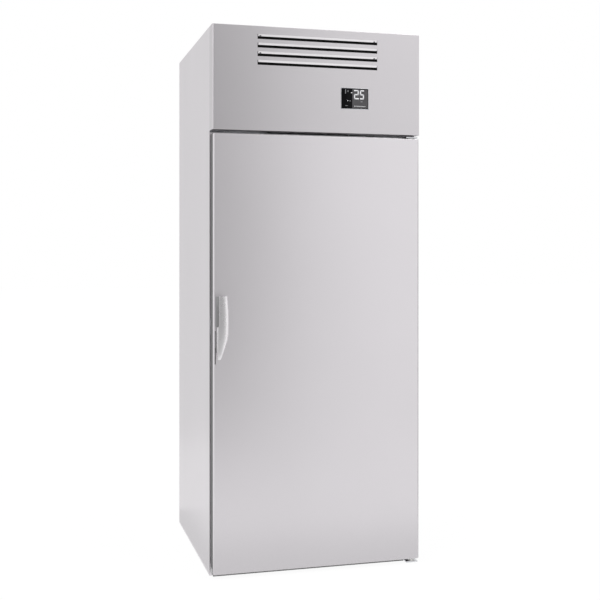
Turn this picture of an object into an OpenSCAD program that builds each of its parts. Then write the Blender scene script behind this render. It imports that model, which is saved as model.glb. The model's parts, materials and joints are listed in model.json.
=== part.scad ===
// Roll-in refrigerated cabinet: an insulated upright body that a trolley rolls into,
// one full-height door on two pivot hinges, and a machine head above the deck.
// X runs to the right, -Y is the front, Z is up. The origin is on the floor, in the middle.

/* [Cabinet] */
// Width over the side skins
cab_w = 875; // [820:1:950]
// Height from the floor to the top of the head
cab_h = 2200; // [2150:1:2300]
// Depth of the body, from its front frame to its back
cab_d = 826; // [800:1:900]
// Thickness of an insulated wall with its two sheets
wall_t = 60; // [56:1:66]
// Thickness of the outer and inner sheets
skin_t = 1; // [0.8:0.1:1.5]
// Thickness of the front frame's sheet
frame_t = 2; // [1.5:0.1:3]
// Height of the steel rails that the walls stand on
base_h = 40; // [30:1:60]
// Height of the floor pan inside
floor_t = 8; // [6:0.5:12]
// Length of the ramp at the threshold
ramp_l = 56; // [40:1:80]

/* [Door] */
// Thickness of the door
door_t = 52; // [46:1:60]
// Step from the cabinet's side to the door's edge
door_inset = 4; // [2:0.5:6]
// Gap under the door
door_lift = 20; // [18:0.5:26]
// Gap between the door's top and the head
head_gap = 15.5; // [14:0.5:20]
// Gap between the door's back and the front frame, filled by the gasket
seal_gap = 12; // [11:0.5:14]
// Radius of the folded front corners
fold_r = 8; // [4:0.5:12]
// Width of the gasket
gasket_w = 20; // [16:1:22]
// Step from the cabinet's side to the gasket
gasket_in = 36; // [35:0.5:38]
// Step from the door's top to the gasket
gasket_down = 26; // [24:1:30]
// Height of the rail along the door's foot
foot_rail_h = 30; // [24:1:36]
// Thickness of the rubber sweep under the door
sweep_t = 5; // [3:0.5:8]
// Step from the door's hinge edge to the pivot
pivot_in = 25; // [20:0.5:26]
// Step from the door's back to the pivot
pivot_fwd = 25; // [20:0.5:26]
// Radius of the hinge pins
hinge_pin_r = 6; // [4:0.5:7]
// Thickness of the hinge brackets
bracket_t = 5; // [4:0.5:6]

/* [Head] */
// Height of the head's front panel
head_h = 418; // [400:1:460]
// Sheet of the head's front panel
fascia_t = 1.5; // [1:0.1:2]
// Number of louvre slots
louvre_n = 4; // [2:1:5]
// Length of a louvre slot
louvre_l = 505; // [400:1:600]
// Height of a louvre slot
louvre_h = 19.5; // [14:0.5:22]
// Step from one louvre slot to the next
louvre_pitch = 34.4; // [32:0.1:36]
// Top of the highest louvre slot below the head's top
louvre_down = 32.5; // [31:0.5:50]
// Width of the display
display_w = 116; // [90:1:140]
// Height of the display
display_h = 83; // [60:1:100]
// Step from the cabinet's left side to the display
display_s = 535; // [480:1:580]
// Step from the head's top to the display
display_down = 234; // [215:1:250]
// Depth of the controller's case behind the display
controller_d = 36; // [25:1:45]

/* [Handle] */
// How far the handle stands out from the door
handle_out = 50; // [44:1:60]
// Height of the handle
handle_h = 256; // [220:1:300]
// Top of the handle above the floor
handle_top = 1123; // [1050:1:1200]
// Step from the cabinet's left side to the handle
handle_s = 15; // [12:0.5:20]
// Width of the handle at its top
handle_top_w = 39; // [28:1:40]
// Greatest width of the handle
handle_w = 44; // [41:1:52]
// Thickness of the grip's shell
grip_t = 8; // [6:0.5:10]
// Height of the finger recess
recess_h = 122; // [100:1:130]
// Travel of the latch when the grip is pulled
latch_travel = 8; // [6:0.5:9]

/* [Machine] */
// Width of the air opening in the ceiling
cavity_w = 500; // [460:1:540]
// Height of the evaporator housing above the deck
housing_h = 280; // [260:1:340]
// Insulation of the evaporator housing
housing_t = 30; // [20:1:40]
// Radius of the evaporator fans
evap_fan_r = 70; // [55:1:74]
// Radius of the condenser fan
cond_fan_r = 120; // [100:1:130]
// Width of the condenser
cond_w = 360; // [320:1:400]
// Height of the condenser
cond_h = 340; // [300:1:360]
// Depth of the condenser
cond_d = 64; // [44:1:80]
// Radius of the compressor's shell
comp_r = 85; // [70:1:92]
// Height of the compressor's shell
comp_h = 210; // [180:1:240]
// Radius of the copper lines
line_r = 5; // [4:0.5:6]

/* [Trolley bay] */
// Radius of the bumper rails
bumper_r = 8; // [6:0.5:10]
// Step from the liner to the middle of a bumper rail
bumper_off = 24; // [20:1:28]
// Depth of the air duct behind its panel
duct_d = 38; // [30:1:50]

/* [Hidden] */
$fn = 48;
fit = 0.05;
seat = 0.3;
hx = cab_w / 2;
deep = handle_out + door_t + seal_gap + cab_d;
y_front = handle_out - deep / 2;
y_rear_face = y_front + door_t;
y_body = y_rear_face + seal_gap;
y_back = deep / 2;
y_in = y_back - wall_t;
in_hw = hx - wall_t;
z_head = cab_h - head_h;
deck_drop = 6;
deck_t = 2;
z_deck = z_head - deck_drop;
z_ceil = z_deck - wall_t;
z_mach = z_deck + deck_t;
door_hw = hx - door_inset;
z_door0 = door_lift;
z_door1 = z_head - head_gap;
pivot = [door_hw - pivot_in, y_rear_face - pivot_fwd];

// The evaporator's cavity, from the ceiling up into its housing
cav_hw = cavity_w / 2;
y_cav1 = y_in - 5;
fan_bay = 2 * evap_fan_r + 30;
coil_bay = 135;
y_cav0 = y_cav1 - fan_bay - coil_bay;
z_house = z_mach + housing_h;
evap_fans = [-cavity_w / 4 + 5, cavity_w / 4 - 5];
y_fan = y_cav0 + fan_bay / 2;
fan_plate_t = 2;
z_fan_plate = z_mach + 2;

// Sheet, board and wire sizes that repeat
trim_t = 2;
wire_r = 1.5;
screw_r = 2.5;
screw_head_r = 4.5;
screw_head_h = 2.5;

// The breaker strip, the bay's fittings and the duct
breaker_w = 14;
bay_y0 = y_body + 90;
y_duct = y_in - duct_d;
bay_y1 = y_duct - 70;
bumper_z = [260, 900];
rear_bumper_hw = in_hw - 120;
guide_h = 30;
duct_hw = cav_hw + 20;
duct_z0 = floor_t + 52;
duct_slot = 150;
duct_rows = 12;
duct_pitch = (z_ceil - duct_z0 - 150) / duct_rows;

// Evaporator coil, drip tray and drain
coil_hw = cav_hw - 30;
coil_d = 75;
coil_h = 150;
y_coil = y_cav0 + fan_bay + 12;
z_tray = z_fan_plate + fan_plate_t + 28;
tray_h = 20;
drain_r = 6;
drain_y = y_coil + coil_d / 2;
drain_z = z_tray + tray_h / 2;
pan_x = -(hx + cav_hw + housing_t) / 2;

guard_drop = 36;

// Condenser, its fan and the compressor, ahead of the evaporator housing
shaft_r = 4;
shaft_l = 15;
cond_x0 = -cond_w / 2 - 20;
y_cond = y_body + 36;
shroud_d = 34;
y_shroud1 = y_cond + cond_d + 4 + shroud_d;
fan_c = [cond_x0 + cond_w / 2, z_mach + cond_h / 2];
foot_h = 14;
z_comp = z_mach + foot_h;
comp = [hx - 60 - comp_r, y_cav0 - housing_t - comp_r - 5];
comp_feet = [for (x = [-76, 76], y = [-56, 56]) [comp[0] + x, comp[1] + y]];
stub_up = 16;
suction_r = 8;
suction_x = cav_hw - 60;
discharge = [comp[0] - 30, comp[1] - comp_r - 25, z_comp + 100];
drier = [cond_x0 + cond_w + 30, y_body + 176, z_mach + 70];
drier_l = 120;
liquid_x = cav_hw - 120;
vent_in = 15;
gland = [-hx + 70, z_mach + 60];
gland_r = 11;
cord_r = 5;

// Screws of the two hinge brackets, whose plates run back into the body
bracket_w = 2 * pivot_in;
bracket_back = 44;
top_screws = [for (i = [0, 1]) [pivot[0] - 12 + 24 * i, y_body + 16 + 12 * i]];
bottom_screws = [for (p = top_screws) [p[0] - 2, p[1]]];

// Body of the latch, in the door's thickness behind the handle
z_latch = handle_top - recess_h;
latch_x = -hx + 13.5;
latch_t = 6;
latch_h = 24;
latch_reach = 10;
carriage_w = 16;
carriage_d = 16;
case_t = 2;
case_w = 35;
case_h = latch_h + 2 * (case_t + seat) + 6;
case_x0 = -door_hw + skin_t + 1.5;
case_y0 = y_front + 14;
case_y1 = y_rear_face - skin_t;

strike_gap = 2;
strike_t = 3;
strike_hh = latch_h / 2 + 2;
release_x = -in_hw + 27.5;
release_r = 5;
release_in = 24;

// Hinge bushes, the sweep and the handle's pivot
bush_l = 30;
bush_r = hinge_pin_r + 3;
bracket_nose = 14;
sweep_z = 4;
grip_x = -hx + handle_s;
grip_z = handle_top - handle_h;
grip_axis = [grip_x + 27, y_front - 11];
grip_pin_r = 3;
base_t = 4;
lug_r = 6;
lug_hh = 16;
lug_z = z_latch - 26;
leaf_u = 0.58;
leaf_power = 0.35;
leaf_n = 16;
tip_w = 6;
tip_out = 14;

// Front panel's hinge at the top of the head, its ears, louvres and display
flap_gap = 2;
hinge_edge = 4;
flap = [y_body - flap_gap - hinge_edge, cab_h - hinge_edge];
flap_pin_r = 2;
ear_w = 6;
ear_x = hx - fascia_t - 3 - ear_w / 2;
head_rail_h = 28;
lip_in = 4.5;
lip_drop = 8.5;
louvre_z = [for (i = [0 : louvre_n - 1]) cab_h - louvre_down - i * louvre_pitch];
disp = [-hx + display_s, cab_h - display_down - display_h];

// A box between two opposite corners
module block(lo, hi) {
    translate(lo) cube(hi - lo);
}

// A plate in the XY plane whose two front corners are folded round
module folded_plan(w, d, r) {
    translate([-w / 2, r]) square([w, d - r]);
    translate([-w / 2 + r, 0]) square([w - 2 * r, r]);
    for (s = [-1, 1]) translate([s * (w / 2 - r), r]) circle(r);
}

// A sheet tray, open at its back, with folded front corners
module tray(w, d, h, r, t) {
    difference() {
        linear_extrude(h) folded_plan(w, d, r);
        translate([0, t, t]) linear_extrude(h - 2 * t) folded_plan(w - 2 * t, d, r - t);
    }
}

// A cylinder along Y, from y0 to y1
module rod_y(x, z, y0, y1, r) {
    translate([x, y0, z]) rotate([-90, 0, 0]) cylinder(h = y1 - y0, r = r);
}

// A cylinder along X, from x0 to x1
module rod_x(x0, x1, y, z, r) {
    translate([x0, y, z]) rotate([0, 90, 0]) cylinder(h = x1 - x0, r = r);
}

// A round tube bent through the points of a path, with ball corners
module bent_line(path, r) {
    for (i = [0 : len(path) - 2]) {
        d = path[i + 1] - path[i];
        n = norm(d);
        translate(path[i])
            rotate([0, acos(d[2] / n), atan2(d[1], d[0])])
                cylinder(h = n, r = r);
    }
    for (i = [1 : 1 : len(path) - 2]) translate(path[i]) sphere(r);
}

module side_skin(s) {
    color("silver")
        translate([s > 0 ? hx - skin_t : -hx, y_body, 0]) cube([skin_t, cab_d, cab_h]);
}

module left_side_skin() {
    side_skin(-1);
}

module right_side_skin() {
    side_skin(1);
}

module rear_skin() {
    color("silver") block([-hx + skin_t, y_back - skin_t, 0], [hx - skin_t, y_back, z_mach]);
}

// The foam of the two side walls, with a pocket for the latch's strike box on the left
module side_wall_foam() {
    color("khaki")
        for (s = [-1, 1])
            difference() {
                block([min(s * (in_hw + skin_t), s * (hx - skin_t)), y_body + frame_t, base_h],
                      [max(s * (in_hw + skin_t), s * (hx - skin_t)), y_back - skin_t, z_ceil + skin_t]);
                strike_box(fit);
            }
}

module rear_wall_foam() {
    color("khaki")
        block([-in_hw - skin_t, y_in + skin_t, base_h],
              [in_hw + skin_t, y_back - skin_t, z_ceil + skin_t]);
}

// The upright air passage through the ceiling, deck and housing
module cavity(z0, z1) {
    block([-cav_hw, y_cav0, z0], [cav_hw, y_cav1, z1]);
}

module ceiling_foam() {
    color("khaki")
        difference() {
            block([-hx + skin_t, y_body + frame_t, z_ceil + skin_t],
                  [hx - skin_t, y_back - skin_t, z_deck]);
            cavity(z_ceil, z_deck + 1);
            top_bracket_plate(fit);
            for (p = top_screws) translate([p[0], p[1], z_deck - bracket_t - 1])
                cylinder(h = bracket_t, r = screw_r + fit);
        }
}

// One sheet folded round the inside, open at the front and at the floor
module inner_liner() {
    y0 = y_body + frame_t + breaker_w;
    color("gainsboro")
        difference() {
            block([-in_hw - skin_t, y0, skin_t], [in_hw + skin_t, y_in + skin_t, z_ceil + skin_t]);
            block([-in_hw, y0 - 1, 0], [in_hw, y_in, z_ceil]);
            cavity(z_ceil - 1, z_deck);
        }
}

module front_frame() {
    color("silver")
        difference() {
            block([-hx + skin_t, y_body, 0], [hx - skin_t, y_body + frame_t, z_deck]);
            block([-in_hw, y_body - 1, -1], [in_hw, y_body + frame_t + 1, z_ceil]);
            strike_box(fit);
            top_bracket_plate(fit);
            bottom_bracket_plate(fit);
        }
}

// The plastic strip that parts the cold liner from the warm frame
module breaker_strip() {
    y0 = y_body + frame_t;
    color("whitesmoke")
        difference() {
            block([-in_hw - skin_t, y0, skin_t], [in_hw + skin_t, y0 + breaker_w, z_ceil + skin_t]);
            block([-in_hw, y0 - 1, 0], [in_hw, y0 + breaker_w + 1, z_ceil]);
        }
}

// Square tubes under the side and rear walls; the right one holds the lower hinge
module base_rails() {
    y0 = y_body + frame_t;
    y1 = y_back - skin_t;
    color("dimgray") {
        for (s = [-1, 1])
            difference() {
                block([min(s * (in_hw + skin_t), s * (hx - skin_t)), y0, 0],
                      [max(s * (in_hw + skin_t), s * (hx - skin_t)), y1, base_h]);
                block([min(s * (in_hw + skin_t + trim_t), s * (hx - skin_t - trim_t)), y0 - 1, trim_t],
                      [max(s * (in_hw + skin_t + trim_t), s * (hx - skin_t - trim_t)), y1 + 1,
                       base_h - trim_t]);
                for (p = bottom_screws) translate([p[0], p[1], -1])
                    cylinder(h = trim_t + 2, r = screw_r + fit);
            }
        difference() {
            block([-in_hw - skin_t, y_in + skin_t, 0], [in_hw + skin_t, y1, base_h]);
            block([-in_hw - skin_t - 1, y_in + skin_t + trim_t, trim_t],
                  [in_hw + skin_t + 1, y1 - trim_t, base_h - trim_t]);
        }
    }
}

// The trolley's floor, which falls away to a ramp at the threshold
module floor_pan() {
    color("silver")
        translate([-in_hw, 0, 0]) rotate([90, 0, 90])
            linear_extrude(2 * in_hw)
                polygon([[y_body + frame_t, 0], [y_body + frame_t, trim_t / 2],
                         [y_body + ramp_l, floor_t], [y_in, floor_t], [y_in, 0]]);
}

module deck_plate() {
    color("silver")
        difference() {
            block([-hx + skin_t, y_body, z_deck], [hx - skin_t, y_back - skin_t, z_mach]);
            cavity(z_deck - 1, z_mach + 1);
            for (p = top_screws) translate([p[0], p[1], z_deck - 1])
                cylinder(h = deck_t + 2, r = screw_r + fit);
        }
}

// Two rails on each side wall and one across the back, each on its own standoffs
module bumper_rails() {
    color("silver") {
        for (s = [-1, 1], z = bumper_z) {
            x = s * (in_hw - bumper_off);
            rod_y(x, z, bay_y0, bay_y1, bumper_r);
            for (y = [bay_y0, bay_y1]) translate([x, y, z]) sphere(bumper_r);
            for (y = [bay_y0 + 40, bay_y1 - 40])
                rod_x(min(x, s * in_hw), max(x, s * in_hw), y, z, bumper_r * 0.75);
        }
        y = y_duct - bumper_off;
        rod_x(-rear_bumper_hw, rear_bumper_hw, y, bumper_z[1], bumper_r);
        for (s = [-1, 1]) {
            translate([s * rear_bumper_hw, y, bumper_z[1]]) sphere(bumper_r);
            rod_y(s * (rear_bumper_hw - 40), bumper_z[1], y, y_duct, bumper_r * 0.75);
        }
    }
}

// Two angles on the floor that steer the trolley's wheels
module wheel_guides() {
    color("silver")
        for (s = [-1, 1])
            translate([s * (in_hw - 40), bay_y0, floor_t]) rotate([90, 0, 180])
                linear_extrude(bay_y1 - bay_y0 - 40)
                    polygon([[0, 0], [-s * 22, 0], [-s * 22, trim_t], [-s * trim_t, trim_t],
                             [-s * trim_t, guide_h], [0, guide_h]]);
}

// The panel at the back of the bay, with slots that let the cold air out
module air_duct_panel() {
    color("gainsboro")
        difference() {
            block([-duct_hw, y_duct, duct_z0], [duct_hw, y_in, z_ceil]);
            block([-duct_hw + fascia_t, y_duct + fascia_t, duct_z0 - 1],
                  [duct_hw - fascia_t, y_in + 1, z_ceil + 1]);
            for (x = [-duct_hw / 2, duct_hw / 2], i = [0 : duct_rows - 1])
                translate([x - duct_slot / 2, y_duct - 1, duct_z0 + 90 + i * duct_pitch])
                    cube([duct_slot, fascia_t + 2, 10]);
        }
}

// The insulated box over the ceiling opening, open below
module evaporator_housing() {
    color("gainsboro")
        difference() {
            block([-cav_hw - housing_t, y_cav0 - housing_t, z_mach],
                  [cav_hw + housing_t, y_cav1 + housing_t, z_house]);
            cavity(z_mach - 1, z_house - housing_t);
            rod_x(-cav_hw - housing_t - 1, -cav_hw + 1, drain_y, drain_z, drain_r + fit);
        }
}

// A column of half-turn tubes that stand out from a coil's side face
module return_bends(x, y, z0, n, pitch, r, side) {
    for (i = [0 : n - 1])
        translate([x, y, z0 + (i + 0.5) * pitch]) mirror([side < 0 ? 1 : 0, 0, 0])
            rotate([-90, -90, 0])
                rotate_extrude(angle = 180) translate([pitch / 4, 0]) circle(r);
}

// Finned block between two end plates
module fin_coil(x0, x1, y0, y1, z0, z1, bends) {
    block([x0 + trim_t, y0, z0 + 4], [x1 - trim_t, y1, z1 - 4]);
    for (x = [x0, x1 - trim_t]) block([x, y0 - 4, z0], [x + trim_t, y1 + 4, z1]);
    pitch = (z1 - z0 - 20) / bends;
    return_bends(x0, (y0 + y1) / 2, z0 + 10, bends, pitch, line_r * 0.9, -1);
    return_bends(x1, (y0 + y1) / 2, z0 + 10, bends, pitch, line_r * 0.9, 1);
}

module evaporator_coil() {
    color("silver")
        fin_coil(-coil_hw, coil_hw, y_coil, y_coil + coil_d, z_tray + trim_t,
                 z_tray + trim_t + coil_h, 4);
}

// Sheet under the housing with one hole for each fan
module evap_fan_plate() {
    color("silver")
        difference() {
            block([-cav_hw, y_cav0, z_fan_plate], [cav_hw, y_duct, z_fan_plate + fan_plate_t]);
            for (x = evap_fans) translate([x, y_fan, z_fan_plate - 1])
                cylinder(h = fan_plate_t + 2, r = evap_fan_r + 3);
        }
}

// A fan motor with its arms at z = 0, its body above and the shaft's bore from below
module fan_motor(r, h, reach) {
    difference() {
        union() {
            cylinder(h = h, r = r);
            for (a = [30, 150, 270]) rotate(a) translate([0, -6, 0]) cube([reach, 12, 4]);
        }
        translate([0, 0, -1]) cylinder(h = shaft_l + 2, r = shaft_r + fit);
    }
}

// A rotor whose hub ends below z = 0; its shaft reaches up into the motor
module fan_rotor(r, hub_r, hub_h, n, chord, pitch_deg) {
    translate([0, 0, -hub_h - seat]) cylinder(h = hub_h, r = hub_r);
    translate([0, 0, -seat - 1]) cylinder(h = shaft_l + 1, r = shaft_r);
    intersection() {
        for (i = [0 : n - 1]) rotate(i * 360 / n)
            translate([0, 0, -hub_h / 2 - seat]) rotate([pitch_deg, 0, 0])
                translate([hub_r - 3, -chord / 2, -1]) cube([r - hub_r + 6, chord, 2]);
        translate([0, 0, -hub_h - seat]) cylinder(h = hub_h, r = r);
    }
}

module evap_fan_motors() {
    color("dimgray")
        for (x = evap_fans) translate([x, y_fan, z_fan_plate + fan_plate_t])
            fan_motor(28, 45, evap_fan_r + 8);
}

// Rings on a cross of bars, on four legs down from the fan plate
module evap_fan_guards() {
    z = z_fan_plate - guard_drop;
    r = evap_fan_r + 6;
    color("lightgray")
        for (x = evap_fans) translate([x, y_fan, z]) {
            for (i = [1 : 4]) linear_extrude(2 * wire_r) difference() {
                circle(i * r / 4 + wire_r);
                circle(i * r / 4 - wire_r);
            }
            for (a = [45, 135]) rotate(a) translate([-r, -wire_r, 0]) cube([2 * r, 2 * wire_r, wire_r]);
            for (a = [45 : 90 : 315]) rotate(a) translate([r, 0, 0])
                cylinder(h = guard_drop, r = wire_r);
        }
}

// Open pan under the coil, carried between the housing's side walls
module drip_tray() {
    color("silver")
        difference() {
            block([-cav_hw, y_coil - 12, z_tray], [cav_hw, y_coil + coil_d + 8, z_tray + tray_h]);
            block([-cav_hw + trim_t, y_coil - 12 + trim_t, z_tray + trim_t],
                  [cav_hw - trim_t, y_coil + coil_d + 8 - trim_t, z_tray + tray_h + 1]);
        }
}

module drain_pipe() {
    x = pan_x;
    color("whitesmoke") {
        rod_x(x, -cav_hw, drain_y, drain_z, drain_r);
        translate([x, drain_y, drain_z]) sphere(drain_r);
        translate([x, drain_y, z_mach + 16]) cylinder(h = drain_z - z_mach - 16, r = drain_r);
    }
}

// Shallow pan on the deck where the drained water dries off
module evaporating_pan() {
    x = pan_x;
    color("dimgray")
        difference() {
            block([x - 55, drain_y - 90, z_mach], [x + 45, drain_y + 50, z_mach + 26]);
            block([x - 55 + trim_t, drain_y - 90 + trim_t, z_mach + trim_t],
                  [x + 45 - trim_t, drain_y + 50 - trim_t, z_mach + 27]);
        }
}

// Welded shell on a base plate, with its terminal box and two planar stubs
module compressor() {
    dome = comp_r * 0.45;
    color([0.12, 0.12, 0.13])
        difference() {
            union() {
                translate([comp[0], comp[1], z_comp]) {
                    translate([0, 0, dome]) cylinder(h = comp_h - 2 * dome, r = comp_r);
                    for (m = [0, 1]) translate([0, 0, m * comp_h]) mirror([0, 0, m])
                        translate([0, 0, dome]) intersection() {
                            translate([0, 0, comp_r * 0.8]) sphere(comp_r * 1.28);
                            translate([0, 0, -dome]) cylinder(h = dome, r = comp_r);
                        }
                    translate([0, 0, comp_h - 10]) cylinder(h = stub_up + 10, r = suction_r);
                    translate([-comp_r - 22, -26, 70]) cube([40, 52, 66]);
                }
                block([comp[0] - 88, comp[1] - 70, z_comp], [comp[0] + 88, comp[1] + 70, z_comp + 4]);
                rod_y(discharge[0], discharge[2], discharge[1], comp[1], line_r);
            }
            for (p = comp_feet) translate([p[0], p[1], z_comp - 1]) cylinder(h = 6, r = 5);
        }
}

module compressor_feet() {
    color("black")
        for (p = comp_feet) translate([p[0], p[1], z_mach]) {
            cylinder(h = foot_h, r = 13);
            cylinder(h = foot_h + 8, r = 5 - fit);
        }
}

module condenser_coil() {
    color("silver")
        fin_coil(cond_x0, cond_x0 + cond_w, y_cond, y_cond + cond_d, z_mach, z_mach + cond_h, 6);
}

// Sheet box behind the condenser that ducts its air through the fan
module condenser_shroud() {
    y0 = y_cond + cond_d + 4;
    color("dimgray")
        difference() {
            block([cond_x0, y0, z_mach], [cond_x0 + cond_w, y0 + shroud_d, z_mach + cond_h]);
            block([cond_x0 + trim_t, y0 - 1, z_mach + trim_t],
                  [cond_x0 + cond_w - trim_t, y0 + shroud_d - trim_t, z_mach + cond_h - trim_t]);
            rod_y(fan_c[0], fan_c[1], y0, y0 + shroud_d + 1, cond_fan_r + 5);
        }
}

module condenser_fan_motor() {
    color("dimgray")
        translate([fan_c[0], y_shroud1, fan_c[1]]) rotate([-90, 0, 0])
            fan_motor(38, 66, cond_fan_r + 12);
}

// The drier stands in the liquid line between two planar stubs
module filter_drier() {
    color("peru")
        translate(drier) {
            cylinder(h = 14, r1 = line_r + 1, r2 = 20);
            translate([0, 0, 14]) cylinder(h = drier_l - 28, r = 20);
            translate([0, 0, drier_l - 14]) cylinder(h = 14, r1 = 20, r2 = line_r + 1);
        }
}

// Discharge line, the two halves of the liquid line, and the insulated suction line
module refrigerant_lines() {
    x1 = cond_x0 + cond_w;
    y = y_cond + 12;
    zd = z_mach + cond_h - 40;
    zl = drier[2] + drier_l + 40;
    zs = z_comp + comp_h + stub_up + 20;
    color("peru") {
        bent_line([discharge, [discharge[0], y, discharge[2]], [discharge[0], y, zd], [x1, y, zd]],
                  line_r);
        bent_line([[x1, y, drier[2] - 20], [drier[0], y, drier[2] - 20],
                   [drier[0], drier[1], drier[2] - 20], drier], line_r);
        bent_line([drier + [0, 0, drier_l], [drier[0], drier[1], zl], [liquid_x, drier[1], zl],
                   [liquid_x, y_cav0 - housing_t, zl]], line_r);
        bent_line([[comp[0], comp[1], z_comp + comp_h + stub_up], [comp[0], comp[1], zs],
                   [suction_x, comp[1], zs], [suction_x, y_cav0 - housing_t, zs]], suction_r);
    }
}

module electrical_box() {
    color("gainsboro")
        block([-hx + skin_t, y_body + 250, z_mach], [-hx + skin_t + 110, y_body + 410, z_mach + 180]);
}

// Gland that the supply cord passes through, set in the recessed rear panel
module cable_gland() {
    y = y_back - vent_in;
    color("dimgray")
        difference() {
            union() {
                rod_y(gland[0], gland[1], y - 16, y + 14, gland_r);
                translate([gland[0], y, gland[1]]) rotate([-90, 0, 0])
                    cylinder(h = 6, r = gland_r + 5, $fn = 6);
                translate([gland[0], y - fascia_t - 5, gland[1]]) rotate([-90, 0, 0])
                    cylinder(h = 5, r = gland_r + 4, $fn = 6);
            }
            rod_y(gland[0], gland[1], y - 20, y + 20, cord_r);
        }
}

// Recessed slotted panel that closes the back of the machine space
module rear_vent_panel() {
    y = y_back - vent_in - fascia_t;
    color("silver")
        difference() {
            block([-hx + skin_t, y, z_mach], [hx - skin_t, y + fascia_t, cab_h - 10]);
            rod_y(gland[0], gland[1], y - 1, y + fascia_t + 1, gland_r + fit);
            for (i = [0 : 9]) block([-hx + 180, y - 1, z_mach + 110 + i * 26],
                                    [hx - 180, y + fascia_t + 1, z_mach + 120 + i * 26]);
        }
}

// Angle across the top of the head, with an ear at each end for the front panel's pins
module head_rail() {
    color("silver")
        difference() {
            union() {
                block([-hx + skin_t, y_body, cab_h - head_rail_h],
                      [hx - skin_t, y_body + frame_t, cab_h]);
                block([-hx + skin_t, y_body, cab_h - frame_t], [hx - skin_t, y_body + 40, cab_h]);
                for (s = [-1, 1]) {
                    x = s * ear_x - ear_w / 2;
                    rod_x(x, x + ear_w, flap[0], flap[1], hinge_edge);
                    block([x, flap[0], flap[1] - hinge_edge], [x + ear_w, y_body, cab_h]);
                }
            }
            rod_x(-hx, hx, flap[0], flap[1], flap_pin_r + fit);
        }
}

module fascia_hinge_pins() {
    color("lightgray")
        for (s = [-1, 1])
            rod_x(min(s * (ear_x - ear_w / 2), s * (hx - fit)),
                  max(s * (ear_x - ear_w / 2), s * (hx - fit)), flap[0], flap[1], flap_pin_r);
}

module interior_lamp() {
    color("white")
        block([-200, y_body + 60, z_ceil - 16], [200, y_body + 92, z_ceil]);
}

// Sensor bulb in a clip under the ceiling, ahead of the fans
module temperature_probe() {
    color("dimgray") {
        rod_x(-25, 25, y_cav0 - 40, z_ceil - 10, 3);
        block([-5, y_cav0 - 46, z_ceil - 14], [5, y_cav0 - 34, z_ceil]);
    }
}

// Outer shape of the pocket that the latch enters, let into the frame and the foam
module strike_box(g) {
    block([latch_x - strike_gap - trim_t - g, y_body - 1, z_latch - strike_hh - trim_t - g],
          [latch_x + latch_t + latch_travel + strike_gap + trim_t + g,
           y_body + latch_reach + strike_gap + trim_t + g, z_latch + strike_hh + trim_t + g]);
}

module strike_plate() {
    color("silver")
        difference() {
            union() {
                strike_box(0);
                block([latch_x - strike_gap - 7, y_body - strike_t, z_latch - strike_hh - 22],
                      [latch_x + latch_t + latch_travel + strike_gap + 4, y_body,
                       z_latch + strike_hh + 22]);
            }
            block([latch_x - strike_gap, y_body - strike_t - 1, z_latch - strike_hh],
                  [latch_x + latch_t + latch_travel + strike_gap,
                   y_body + latch_reach + strike_gap, z_latch + strike_hh]);
        }
}

// Plates of the hinge brackets, grown by a gap where they are cut from other pieces
module top_bracket_plate(g) {
    block([pivot[0] - bracket_w / 2 - g, pivot[1] - bracket_nose, z_deck - bracket_t - g],
          [pivot[0] + bracket_w / 2 + g, y_body + bracket_back + g, z_deck + (g > 0 ? 1 : 0)]);
}

module bottom_bracket_plate(g) {
    block([pivot[0] - bracket_w / 2 - g, pivot[1] - bracket_nose, trim_t - g],
          [pivot[0] + bracket_w / 2 + g, y_body + bracket_back + g, trim_t + bracket_t + g]);
}

module top_hinge_bracket() {
    color("darkgray")
        difference() {
            union() {
                top_bracket_plate(0);
                translate([pivot[0], pivot[1], z_door1 - bush_l + 2])
                    cylinder(h = z_deck - z_door1 + bush_l - 2, r = hinge_pin_r);
            }
            for (p = top_screws) translate([p[0], p[1], z_deck - bracket_t - 1])
                cylinder(h = bracket_t + 2, r = screw_r + fit);
        }
}

module bottom_hinge_bracket() {
    color("darkgray")
        difference() {
            union() {
                bottom_bracket_plate(0);
                translate([pivot[0], pivot[1], trim_t])
                    cylinder(h = z_door0 + bush_l - 2 - trim_t, r = hinge_pin_r);
            }
            for (p = bottom_screws) translate([p[0], p[1], trim_t - 1])
                cylinder(h = bracket_t + 2, r = screw_r + fit);
        }
}

// A screw whose head rests on z = 0
module screw(l) {
    cylinder(h = screw_head_h, r = screw_head_r);
    translate([0, 0, -l]) cylinder(h = l + 1, r = screw_r);
}

module hinge_screws() {
    color("lightgray") {
        for (p = top_screws) translate([p[0], p[1], z_mach]) screw(deck_t + bracket_t - 1);
        for (p = bottom_screws) translate([p[0], p[1], trim_t + bracket_t])
            screw(bracket_t + trim_t - 0.5);
    }
}

// Folded sheet front of the door, open at its back
module door_outer_skin() {
    color("silver")
        difference() {
            translate([0, y_front, z_door0])
                tray(2 * door_hw, door_t - skin_t, z_door1 - z_door0, fold_r, skin_t);
            for (z = [z_door0 - 1, z_door1 - skin_t - 1]) translate([pivot[0], pivot[1], z])
                cylinder(h = skin_t + 2, r = bush_r + fit);
        }
}

module door_foam() {
    color("khaki")
        difference() {
            translate([0, y_front + skin_t, z_door0 + skin_t])
                linear_extrude(z_door1 - z_door0 - 2 * skin_t)
                    folded_plan(2 * (door_hw - skin_t), door_t - 2 * skin_t, fold_r);
            for (z = [z_door0, z_door1 - bush_l]) translate([pivot[0], pivot[1], z])
                cylinder(h = bush_l, r = bush_r + fit);
            block([case_x0 - fit, case_y0 - fit, z_latch - case_h / 2 - fit],
                  [case_x0 + case_w + fit, y_rear_face, z_latch + case_h / 2 + fit]);
            rod_y(release_x, z_latch, y_rear_face - release_in - latch_travel - 2, y_rear_face,
                  release_r + 4);
        }
}

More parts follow.
